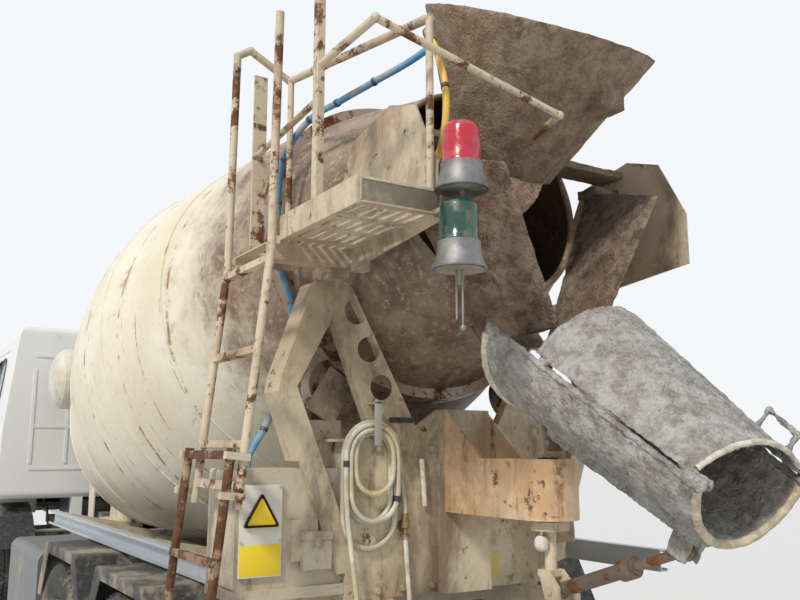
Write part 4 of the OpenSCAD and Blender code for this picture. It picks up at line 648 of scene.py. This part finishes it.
# Platform and ladder
# Slotted floor plate in a fascia frame, and tube rails and rungs, painted cream and worn to rust
# where hands and boots go.
deck_paint = weathered("deck_paint", (0.60, 0.50, 0.36), (0.40, 0.30, 0.20), (0.20, 0.08, 0.03), dusty=0.6,
    rusty=0.55, rough=0.6, run_down=0.55, grain=0.6, grime=0.8)
rail_paint = weathered("rail_paint", (0.60, 0.50, 0.36), (0.40, 0.27, 0.17), (0.20, 0.08, 0.03), rusty=0.8,
    rough=0.6, grain=0.6, grime=0.5)
low_ladder_paint = weathered("low_ladder_paint", (0.42, 0.31, 0.20), (0.28, 0.16, 0.09),
    (0.15, 0.06, 0.025), dusty=0.6, rusty=1.1, rough=0.7, grain=0.8, grime=0.6)
dress(deck_paint, "platform")
dress(rail_paint, "ladder_rails")
dress(low_ladder_paint, "ladder_lower")

# Name plate
# A blank plate on the platform's rear face, in a narrow cream frame. Its dark colour is painted shade: the
# rear face stands in shade.
# Dark paint on the name plate: painted shade of the platform's rear face.
plate_painted_shade = weathered("name_plate", (0.16, 0.14, 0.10), (0.36, 0.30, 0.21), rust, rough=0.55)
plate_y0, plate_y1, plate_z0, plate_z1 = 672, 985, 2492, 2572
plate = bar("name_plate", at(-249, plate_y0, plate_z0), at(-246, plate_y1, plate_z1), plate_painted_shade, 0.001)
frame_bars = (
    (plate_y0 - 4, plate_y1 + 4, plate_z1 - 4, plate_z1 + 4),
    (plate_y0 - 4, plate_y1 + 4, plate_z0 - 4, plate_z0 + 4),
    (plate_y0 - 4, plate_y0 + 4, plate_z0, plate_z1),
    (plate_y1 - 4, plate_y1 + 4, plate_z0, plate_z1),
)
edges = [bar("name_plate_frame", at(-251, y0, z0), at(-246, y1, z1), deck_paint, 0.001)
    for y0, y1, z0, z1 in frame_bars]
plate_frame = join_all(edges, "name_plate_frame")
mount("truck", "body_cream", plate, plate_frame)

# Side rails, mudguards and tanks
# Galvanised guard rails, black plastic mudguards, and painted steel tanks along both sides.
zinc = weathered("galvanised_rail", (0.50, 0.54, 0.57), (0.46, 0.42, 0.34), rust, dusty=0.4, rusty=0.12,
    rough=0.42, metal=0.55)
guard_black = weathered("guard_black", (0.022, 0.022, 0.024), (0.33, 0.29, 0.22), rust, dusty=0.6,
    rusty=0.0, rough=0.6, grain=0.25)
tank_grey = weathered("tank_grey", (0.14, 0.145, 0.15), road_dust, rust, rusty=0.25, rough=0.45)
water_paint = weathered("water_tank_paint", (0.66, 0.63, 0.55), (0.50, 0.44, 0.33), rust, dusty=0.4,
    rusty=0.25, rough=0.45, run_down=0.3)
dress(zinc, "side_rails")
dress(guard_black, "mudguards")
dress(tank_grey, "side_tanks")
dress(water_paint, "water_tank")

# Sign cabinet
# A sheet steel box, cream under cement dust. Its sign is a sheet with a yellow
# panel under a triangle with a black border, and no words.
cabinet_paint = weathered("cabinet_paint", (0.56, 0.48, 0.36), (0.44, 0.36, 0.26), (0.25, 0.11, 0.05),
    dusty=0.55, rusty=0.4, rough=0.6, run_down=0.6, grain=0.5, grime=0.7)
dress(cabinet_paint, "sign_box")
sign_white = weathered("sign_white", (0.70, 0.66, 0.56), (0.48, 0.40, 0.29), rust, dusty=0.35, rusty=0.12,
    rough=0.4, run_down=0.2, grain=0.15)
sign_yellow = weathered("sign_yellow", (0.86, 0.62, 0.02), (0.55, 0.42, 0.15), rust, dusty=0.25, rusty=0.06,
    rough=0.4, run_down=0.15, grain=0.15)
sign_black = weathered("sign_black", (0.02, 0.02, 0.02), (0.30, 0.25, 0.17), rust, dusty=0.3, rusty=0.0,
    rough=0.45, grain=0.15)
sign_y0, sign_y1, sign_z0, sign_z1 = 850, 1028, 1210, 1560
sign_x = 613.4
sheet = bar("sign_sheet", at(sign_x - 1, sign_y0, sign_z0), at(sign_x, sign_y1, sign_z1), sign_white,
    0.0003)
panel = bar("sign_panel", at(sign_x - 1.8, sign_y0 + 4, sign_z0 + 6),
    at(sign_x - 1, sign_y1 - 4, sign_z0 + 122), sign_yellow, 0.0003)


def triangle(name, size, depth, x, material):
    """An upright triangle with rounded corners, on the sheet's rear face."""
    deselect()
    bpy.ops.mesh.primitive_cylinder_add(vertices=3, radius=size, depth=depth, location=(0, 0, 0))
    piece = start_piece(name)
    bpy.ops.object.mode_set(mode="EDIT")
    bpy.ops.mesh.select_all(action="DESELECT")
    leave_edit()
    for edge in piece.data.edges:
        a, b = (piece.data.vertices[v].co for v in edge.vertices)
        edge.select = abs(a.z - b.z) > depth / 2
    bpy.ops.object.mode_set(mode="EDIT")
    bpy.ops.mesh.bevel(offset=size * 0.16, segments=5, affect="EDGES")
    leave_edit()
    top = Matrix(((0, 0, -1), (-1, 0, 0), (0, 1, 0))).to_4x4()
    piece.matrix_world = Matrix.Translation(at(x, (sign_y0 + sign_y1) / 2, sign_z1 - 118)) @ top
    return settle(piece, material)


border = triangle("sign_triangle_border", 0.088, 0.0008, sign_x - 1.4, sign_black)
field = triangle("sign_triangle", 0.070, 0.0008, sign_x - 2.2, sign_yellow)
mount("truck", "body_cream", sheet, panel, border, field)
rivets = [at(sign_x - 1, y, z) for y in (sign_y0 + 8, sign_y1 - 8) for z in (sign_z0 + 134, sign_z1 - 9)]
bolt_heads("sign_screws", rivets, (-1, 0, 0), 0.008, zinc, "truck", "rail_zinc")

# Lamps
# Two old beacon cans on a rod beside the platform, a red one over a green one, each a smooth lens on
# a flared steel skirt, and the road lamps at both ends.


def lens(name, colour, rough=0.18, clear=0.35):
    material, shader = surface(name)
    film = noise(22, 7, 0.66)
    links.new(over(ramp(film, 0.48, 0.72, 0, 0.55), colour, (0.30, 0.22, 0.15)),
        shader.inputs["Base Color"])
    links.new(ramp(film, 0.4, 0.7, rough, 0.6), shader.inputs["Roughness"])
    tune(shader, {"Transmission Weight": clear, "Coat Weight": 0.4})
    roughen(shader, film, 0.15, 0.001)
    return material


lamp_grey = weathered("lamp_grey", (0.05, 0.055, 0.055), (0.36, 0.31, 0.24), rust, dusty=0.6)
dress(lamp_grey, "lamps")
red_lens = lens("red_lens", (0.55, 0.008, 0.035), 0.15, 0.15)
green_lens = lens("green_lens", (0.008, 0.065, 0.045), 0.15, 0.15)
clear_lens = lens("clear_lens", (0.75, 0.75, 0.72), 0.1, 0.5)
amber_lens = lens("amber_lens", (0.80, 0.28, 0.02))
skirt_steel = weathered("skirt_steel", (0.17, 0.18, 0.19), (0.40, 0.36, 0.30), rust, rusty=0.25, rough=0.42,
    metal=0.6)
can_profile = [
    (0.092, 0.055), (0.092, 0.0690), (0.101, 0.0695), (0.104, 0.0675), (0.150, 0.0668), (0.212, 0.0640),
    (0.226, 0.0600), (0.235, 0.0500), (0.239, 0.0300), (0.240, 0.002),
]
skirt_profile = [
    (0.010, 0.060), (0.002, 0.086), (0.000, 0.093), (0.004, 0.095), (0.008, 0.092), (0.030, 0.083),
    (0.060, 0.075), (0.082, 0.0715), (0.090, 0.0725), (0.094, 0.0725), (0.096, 0.066),
]
for name, foot, colour in (
    ("red_beacon", at(-330, 640, 2560), red_lens),
    ("green_beacon", at(-330, 655, 2285), green_lens),
):
    can = turned(name + "_lens", foot, can_profile, (0, 0, 1), colour, 48, 40)
    skirt = turned(name + "_skirt", foot, skirt_profile, (0, 0, 1), skirt_steel, 48)
    mount("truck", "lamp_body", can, skirt)
pin_x, pin_y = -330, 655
pins = join_all([
    turned("beacon_pin", at(pin_x + 9, pin_y + 6, 2284), [(0, 0.0035), (0.165, 0.0035), (0.166, 0.001)],
        (0, 0, -1), skirt_steel, 12),
    turned("beacon_pin", at(pin_x - 9, pin_y - 6, 2284),
        [(0, 0.0035), (0.185, 0.0035), (0.187, 0.008), (0.195, 0.011), (0.203, 0.008), (0.206, 0.001)],
        (0, 0, -1), skirt_steel, 12),
], "beacon_pins")
mount("truck", "lamp_body", pins)

# Chute and its jack
# A half-cone trough of thin steel whose folding extension lies over it. Cement has dried on both in
# a thick grey crust with runs and lumps, so each wall is built again as a rough sheet.
chute_crust = crusted("chute_crust", (0.46, 0.43, 0.39), (0.52, 0.50, 0.46), (0.27, 0.245, 0.21), cover=1.0,
    lump=1.8)
dress(chute_crust, "chute", "chute_extension")
jack_steel = weathered("jack_steel", (0.16, 0.12, 0.09), (0.34, 0.25, 0.17), (0.22, 0.09, 0.035), rusty=0.9,
    metal=0.35)
dress(jack_steel, "strut_barrel", "strut_rod")


def lumps(piece, size, depth, seed_name):
    """Pushes the surface in and out with clouds of that size."""
    clouds = bpy.data.textures.new(seed_name, "CLOUDS")
    clouds.noise_scale = size
    clouds.noise_depth = 4
    push = piece.modifiers.new("lumps", "DISPLACE")
    push.texture = clouds
    push.texture_coords = "LOCAL"
    push.strength = depth
    push.mid_level = 0.5
    bpy.context.view_layer.objects.active = piece
    bpy.ops.object.modifier_apply(modifier=push.name)


def crust_of(node, name, material, body, slot, cell, size, depth):
    """A copy of a steel node's own skin, cut finely and roughened, as the crust that lies on it."""
    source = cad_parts[node]
    piece = source.copy()
    piece.data = source.data.copy()
    for key in list(piece.keys()):
        del piece[key]
    piece.parent = None
    piece.name = name
    bpy.context.scene.collection.objects.link(piece)
    pick(piece)
    edit_all()
    bpy.ops.mesh.remove_doubles(threshold=0.00005)
    leave_edit()
    low = [min(v.co[i] for v in piece.data.vertices) for i in range(3)]
    high = [max(v.co[i] for v in piece.data.vertices) for i in range(3)]
    bpy.ops.object.mode_set(mode="EDIT")
    for axis in range(3):
        normal = [0, 0, 0]
        normal[axis] = 1
        steps = int((high[axis] - low[axis]) / cell)
        for k in range(1, steps + 1):
            point = [0, 0, 0]
            point[axis] = low[axis] + k * (high[axis] - low[axis]) / (steps + 1)
            bpy.ops.mesh.select_all(action="SELECT")
            bpy.ops.mesh.bisect(plane_co=point, plane_no=normal)
    leave_edit()
    lumps(piece, size, depth, name)
    lumps(piece, size * 0.28, depth * 0.4, name + "_grit")
    settle(piece, material, 60)
    mount(body, slot, piece)
    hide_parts(node)
    return piece


crust_of("chute", "chute_crust", chute_crust, "main_chute", "chute_steel", 0.013, 0.032, 0.016)
crust_of("chute_extension", "chute_extension_crust", chute_crust, "folding_chute", "chute_steel", 0.013,
    0.032, 0.016)
crust_of("charge_hopper", "hopper_crust", hopper_crust, "truck", "hopper_steel", 0.030, 0.07, 0.012)
crust_of("discharge_collector", "collector_crust", collector_crust, "truck", "hopper_steel", 0.026, 0.05,
    0.012)

# Lips of the chute
# Pale dried slurry stands as a thick lip along both mouths of the chute and of its extension.
slope = radians(27)


def on_chute(u, y, w):
    """A place that runs u along the chute's floor, y across it and w up from it."""
    return at(-(u * cos(slope) + w * sin(slope)), -y, 1765 - u * sin(slope) + w * cos(slope))


def lip(name, u, centre_w, radius, half_angle, over_the_top, thick, material, body):
    """A rough bead along an arc across the chute, on its floor or over the top of its extension."""
    route = []
    for k in range(25):
        angle = radians(half_angle) * (k / 12 - 1)
        route.append(on_chute(u, radius * sin(angle),
            centre_w + (radius if over_the_top else -radius) * cos(angle)))
    piece = tube(name, route, thick, material, 4)
    as_mesh(piece)
    lumps(piece, 0.03, 0.008, name)
    settle(piece, material, 60)
    mount(body, "chute_steel", piece)
    return piece


pale_lip = crusted("pale_lip", (0.70, 0.66, 0.57), (0.70, 0.66, 0.57), (0.44, 0.39, 0.31), cover=0.9,
    lump=0.8)
cream_lip = crusted("cream_lip", (0.66, 0.55, 0.40), (0.62, 0.52, 0.38), (0.34, 0.26, 0.18), cover=0.7,
    lump=0.8)
lip("chute_upper_lip", -116, 390, 335, 83, False, 0.034, pale_lip, "main_chute")
lip("chute_lower_lip", 893, 305, 249, 77, False, 0.028, cream_lip, "main_chute")
lip("extension_lip", 866, 15, 376, 40, True, 0.018, pale_lip, "folding_chute")

# Small fittings
# A flat strap hangs over the coil of hose, clamps hold the fixed hoses and a ball knob hangs under the
# swivel arm. The pedestal has a blank label, a slot cover, a tool box and two pale pipes.
strap_steel = weathered("strap_steel", (0.42, 0.40, 0.37), (0.46, 0.40, 0.32), rust, rusty=0.25, metal=0.35)
strap = join_all([
    bar("coil_strap", at(532, coil_y - 17, 1712), at(538, coil_y + 17, 1892), strap_steel, 0.001),
    bar("coil_strap_top", at(532, coil_y - 17, 1886), at(603, coil_y + 17, 1892), strap_steel, 0.001),
], "coil_strap")
bolt_heads("coil_strap_nut", [at(548, coil_y, 1892.5)], (0, 0, 1), 0.016, strap_steel, "truck",
    "jack_steel")
clamp_steel = weathered("clamp_steel", (0.10, 0.085, 0.07), (0.30, 0.24, 0.17), rust, rusty=0.4, rough=0.45,
    metal=0.5)
blue_clamps = bands("blue_hose_clamps", blue_hose_route, (3, 4, 5, 6, 7, 8, 9, 10, 11), 0.036, 0.016,
    clamp_steel)
yellow_clamps = bands("yellow_hose_clamps", yellow_hose_route, (1, 3, 5, 6), 0.032, 0.018, clamp_steel)
mount("truck", "jack_steel", strap)
mount("truck", "hose_rubber", blue_clamps, yellow_clamps)

label_yellow = weathered("label_yellow", (0.62, 0.50, 0.14), (0.42, 0.33, 0.20), rust, dusty=0.6, rough=0.6,
    run_down=0.3, grain=0.2, grime=0.6)
label = bar("blank_label", at(597.6, -225, 1125), at(599.7, -95, 1240), label_yellow, 0.0006)
slot_cover = bar("slot_cover", at(598.2, 242, 1811), at(599.7, 364, 1833), sign_black, 0.0006)
tool_box = join_all([
    bar("tool_box", at(580, 642, 1226), at(612.6, 768, 1368), cabinet_paint, 0.003),
    bar("tool_box_lid", at(575, 638, 1340), at(612.6, 772, 1374), cabinet_paint, 0.003),
    bar("tool_box_catch", at(571, 692, 1316), at(580, 718, 1352), cabinet_paint, 0.002),
], "tool_box")
short_pipe = turned("white_pipe", at(585, 206, 1655),
    [(0, 0.009), (0, 0.0115), (0.200, 0.0115), (0.200, 0.008)], (0, -0.08, -1), pale_lip, 20)
long_pipe = turned("drain_pipe", at(576, 297, 1336),
    [(0, 0.007), (0, 0.010), (0.270, 0.010), (0.270, 0.006)], (0, -0.08, -1), pale_lip, 20)
pipes = join_all([short_pipe, long_pipe], "white_pipes")
knob_profile = [
    (0, 0.006), (0.018, 0.006), (0.020, 0.014), (0.027, 0.022), (0.038, 0.0275), (0.048, 0.029),
    (0.058, 0.0275), (0.069, 0.022), (0.076, 0.014), (0.079, 0.003),
]
knob = turned("arm_knob", at(0, 44, 1391), knob_profile, (0, 0, -1), pale_lip, 28, 60)
mount("truck", "body_cream", label)
mount("truck", "frame_black", slot_cover)
mount("truck", "body_cream", tool_box)
mount("truck", "cord_rubber", pipes)
mount("swivel", "body_cream", knob)

# Road lamps and reflectors
# Clear headlamp lenses, amber corners, and tail lamps in amber, red and clear thirds.
lens_rows = (
    ("headlamp_lenses", clear_lens, 8044, 8049, 735, 975, 580, 700),
    ("tail_lenses_amber", amber_lens, 172, 179.7, 790, 895, 768, 892),
    ("tail_lenses_red", red_lens, 172, 179.7, 600, 785, 768, 892),
    ("tail_lenses_clear", clear_lens, 172, 179.7, 486, 595, 768, 892),
)


def side_bar(name, side, x, y, z, material, edge):
    """A bar between two places on each axis, with its y turned to that side."""
    low_y, high_y = sorted((side * y[0], side * y[1]))
    return bar(name, at(x[0], low_y, z[0]), at(x[1], high_y, z[1]), material, edge)


for name, glass, x0, x1, y0, y1, z0, z1 in lens_rows:
    pair = [side_bar(name, side, (x0, x1), (y0, y1), (z0, z1), glass, 0.002) for side in (1, -1)]
    mount("truck", "lamp_body", join_all(pair, name))

# Cab
# Pressed steel in white gloss paint with a film of dust, black plastic trim and clear glass.
cab_white = weathered("cab_white", (0.74, 0.74, 0.71), (0.50, 0.46, 0.38), rust, dusty=0.30, rusty=0.0,
    rough=0.28, run_down=0.1, grain=0.06)
cab_trim = weathered("cab_trim", (0.045, 0.046, 0.048), (0.25, 0.23, 0.19), rust, dusty=0.30, rusty=0.0,
    rough=0.6, grain=0.2)
glass, shader = surface("clear_glass")
tune(shader, {"Base Color": (0.80, 0.88, 0.88, 1), "Roughness": 0.03, "Transmission Weight": 0.92,
    "IOR": 1.15})
dress(cab_white, "cab_shell", "door_left", "door_right")
dress(cab_trim, "cab_interior")
dress(glass, "cab_glass", "door_glass_left", "door_glass_right")
bumper_grey = weathered("bumper_grey", (0.16, 0.165, 0.17), (0.36, 0.33, 0.26), rust, dusty=0.45,
    rusty=0.05, run_down=0.1, grain=0.15)
dress(bumper_grey, "front_bumper")

# Window seals, wipers and small fittings of the cab
# Black rubber round each pane, two wipers, a mesh behind the grille, amber side lamps, mirror glass
# and grips on the doors.
seal_rubber = weathered("seal_rubber", (0.018, 0.018, 0.019), (0.22, 0.20, 0.16), rust, dusty=0.35,
    rusty=0.0, rough=0.55, grain=0.1)


def screen_x(z):
    """How far ahead the cab's raked front stands at that height."""
    return 8060 - (z - 1600) * 270 / 1170


def door_skin_y(z):
    """Half width of the cab's skin at that height, above the window line."""
    return 1150 - max(0, z - 1850) * 110 / 1030


def seal(name, corners, place, body, thick=0.020):
    """A rubber bead round a pane: each corner is cut by two points near it."""
    outline = []
    for k, corner in enumerate(corners):
        corner = Vector(corner)
        for other in (Vector(corners[k - 1]), Vector(corners[(k + 1) % len(corners)])):
            way = (other - corner).normalized()
            outline.append(corner + way * 55)
        outline.append(outline[-1] + (Vector(corners[(k + 1) % len(corners)]) - outline[-1]) * 0.45)
    piece = tube(name, [place(*p) for p in outline] + [place(*outline[0])], thick, seal_rubber, 3)
    as_mesh(piece)
    settle(piece, seal_rubber)
    mount(body, "cab_trim", piece)
    return piece


screen_corners = [(-970, 1850), (970, 1850), (900, 2640), (-900, 2640)]
seal("screen_seal", screen_corners, lambda y, z: at(screen_x(z) + 1, y, z), "cab", 0.024)
window_corners = [(6980, 1960), (7700, 1900), (7540, 2600), (6980, 2600)]
for side, body in ((1, "left_door"), (-1, "right_door")):
    seal(body + "_seal", window_corners, lambda x, z, side=side: at(x, side * door_skin_y(z), z), body)
    mount(body, "cab_trim",
        side_bar(body + "_grip", side, (6955, 7145), (1170, 1180), (1797, 1833), cab_trim, 0.003))

wipers = []
for y in (-420, 330):
    foot = at(screen_x(1815) + 12, y - 330, 1815)
    elbow = at(screen_x(2120) + 22, y - 60, 2120)
    wipers.append(tube("wiper_arm", [foot, foot.lerp(elbow, 0.5) + Vector((0.012, 0, 0)), elbow], 0.014,
        cab_trim, 3))
    wipers.append(tube("wiper_blade",
        [at(screen_x(1910) + 14, y - 260, 1910), elbow - Vector((0.004, 0, 0)),
        at(screen_x(2330) + 14, y + 140, 2330)], 0.016, cab_trim, 3))
    wipers.append(turned("wiper_spindle", foot + Vector((-0.020, 0, 0)),
        [(0, 0.022), (0.018, 0.022), (0.026, 0.015), (0.030, 0.004)], (1, 0, 0), cab_trim, 20))
for piece in wipers:
    as_mesh(piece)
wipers = settle(join_all(wipers, "wipers"), cab_trim)
grille_mesh = bar("grille_mesh", at(7988, -716, 1105), at(7991, 716, 1540), seal_rubber, 0.0005)
mirror_silver, shader = surface("mirror_silver")
tune(shader, {"Base Color": (0.85, 0.87, 0.88, 1), "Metallic": 1.0, "Roughness": 0.04})
mirrors, side_lamps = [], []
for side in (-1, 1):
    mirrors.append(side_bar("mirror_glass", side, (7835.5, 7839.5), (1284, 1386), (1998, 2462),
        mirror_silver, 0.001))
    side_lamps.append(side_bar("side_lamp", side, (7890, 7980), (1150.2, 1158), (1400, 1446), amber_lens,
        0.003))
mount("cab", "cab_trim", wipers, grille_mesh)
mount("cab", "clear_glass", join_all(mirrors, "mirror_glass"))
mount("cab", "lamp_body", join_all(side_lamps, "side_lamps"))

# Seats
# Crowned foam cushions, backs and headrests in grey woven cloth, over the CAD seats' frames.
cloth, shader = surface("seat_cloth")
weave = nodes.new("ShaderNodeTexWave")
tune(weave, {"Scale": 120, "Distortion": 1.5})
links.new(place, weave.inputs["Vector"])
wear = noise(7, 6)
links.new(over(wear, (0.075, 0.08, 0.09), (0.13, 0.125, 0.12)), shader.inputs["Base Color"])
tune(shader, {"Roughness": 0.9, "Sheen Weight": 0.3})
roughen(shader, weave.outputs["Fac"], 0.3, 0.0008)


def pad(name, centre, size, lean, crown):
    """A crowned foam block with rounded edges, leaning back by an angle."""
    deselect()
    bpy.ops.mesh.primitive_cube_add(size=1)
    piece = start_piece(name)
    piece.scale = size
    apply_place()
    bevel_edges(piece, min(size) * 0.33, 5)
    edit_all()
    bpy.ops.mesh.subdivide(number_cuts=6)
    leave_edit()
    thin = size.index(min(size))
    for vertex in piece.data.vertices:
        across = [vertex.co[i] / size[i] * 2 for i in range(3)]
        swell = 1.0
        for i in range(3):
            if i != thin:
                swell *= 1 - min(1, across[i] ** 2)
        vertex.co[thin] += crown * swell * across[thin]
    lumps(piece, 0.12, 0.006, name)
    piece.matrix_world = Matrix.Translation(centre) @ Matrix.Rotation(radians(lean), 4, "Y")
    return settle(piece, cloth, 60)


for place_name, y in (("driver", 680), ("passenger", -680)):
    for part, centre, size, lean, crown in (
        ("cushion", at(6925, y, 1700), (0.54, 0.55, 0.125), 0, 0.022),
        ("back", at(6606, y, 2040), (0.165, 0.52, 0.64), -5.5, 0.020),
        ("headrest", at(6570, y, 2435), (0.105, 0.30, 0.20), -5.5, 0.010),
    ):
        piece = pad(f"{place_name}_{part}", centre, size, lean, crown)
        mount("cab", "cab_trim", piece)

# Tyres
# Road tyres of 1.04 m: ribbed on the steered wheels, lugged on the driven twins. Each tread block is
# stood on the casing and repeated round it.
tyre_rubber = weathered("tyre_rubber", (0.024, 0.024, 0.025), (0.27, 0.235, 0.18), rust, dusty=0.55,
    rusty=0.0, rough=0.75, grain=0.3)
tyre_r, tyre_half = 0.520, 0.150
casing = [
    (-0.105, 0.301), (-0.130, 0.331), (-tyre_half, 0.396), (-0.148, 0.450), (-0.134, 0.490),
    (-0.116, 0.506), (-0.088, 0.509), (0.088, 0.509), (0.116, 0.506), (0.134, 0.490),
    (0.148, 0.450), (tyre_half, 0.396), (0.130, 0.331), (0.105, 0.301), (-0.105, 0.301),
]


def tyre(name, centre, blocks, length, slant):
    """One tyre on its axle, with so many blocks round it, each of that length and slant."""
    casing_piece = turned(name, Vector((0, 0, 0)), casing, (0, 1, 0), tyre_rubber, 72, 50, ring=True)
    rows = []
    for row, offset in enumerate((-0.098, -0.049, 0.0, 0.049, 0.098)):
        wide = 0.040 if abs(offset) > 0.09 else 0.036
        deselect()
        bpy.ops.mesh.primitive_cube_add(size=1,
            location=(length * 0.5 * (row % 2), offset, tyre_r - 0.0105),
            rotation=(0, 0, slant * (1 if row % 2 else -1)))
        block = start_piece("tread_block")
        block.scale = (length, wide, 0.018)
        apply_place()
        rows.append(block)
    tread = join_all(rows, name + "_tread")
    edit_all()
    bpy.ops.mesh.spin(steps=blocks - 1, dupli=True, angle=2 * pi * (blocks - 1) / blocks, center=(0, 0, 0),
        axis=(0, 1, 0))
    leave_edit()
    settle(tread, tyre_rubber, 30)
    piece = join_all([casing_piece, tread], name)
    piece.location = centre
    return settle(piece, tyre_rubber, 30)


# Rims
# Pressed steel discs with hand holes, held by ten nuts round the hub.
rim_paint = weathered("rim_paint", (0.50, 0.48, 0.42), (0.34, 0.285, 0.21), rust, rusty=0.4)
stud_ring_r, stud_count = 142, 10
axle_z = 520
wheel_rows = (
    ("front", 6750, (1030,), 1108, (72, 0.041, 0.0)),
    ("mid", 2950, (760, 1090), 941, (52, 0.044, 0.22)),
    ("rear", 1600, (760, 1090), 941, (52, 0.044, 0.22)),
)
for corner, axle_x, tracks, disc_y, tread in wheel_rows:
    for side, facing in (("left", 1), ("right", -1)):
        plural = "" if corner == "front" else "s"
        body = f"{corner}_{side}_wheel{plural}"
        tyres = [tyre(f"{corner}_{side}_tyre", at(axle_x, facing * y, axle_z), *tread) for y in tracks]
        piece = join_all(tyres, f"{corner}_{side}_tread{plural}") if len(tyres) > 1 else tyres[0]
        mount(body, "tyre", piece)
        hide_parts(f"{corner}_tyre{plural}_{side}")
        dress(rim_paint, f"{corner}_rim{plural}_{side}")
        studs = []
        for k in range(stud_count):
            angle = 2 * pi * k / stud_count
            studs.append(at(axle_x + stud_ring_r * cos(angle), facing * (disc_y + 0.3),
                axle_z + stud_ring_r * sin(angle)))
        bolt_heads(f"{corner}_{side}_wheel_nuts", studs, (0, facing, 0), 0.030, rim_paint, body,
            "rim_paint")
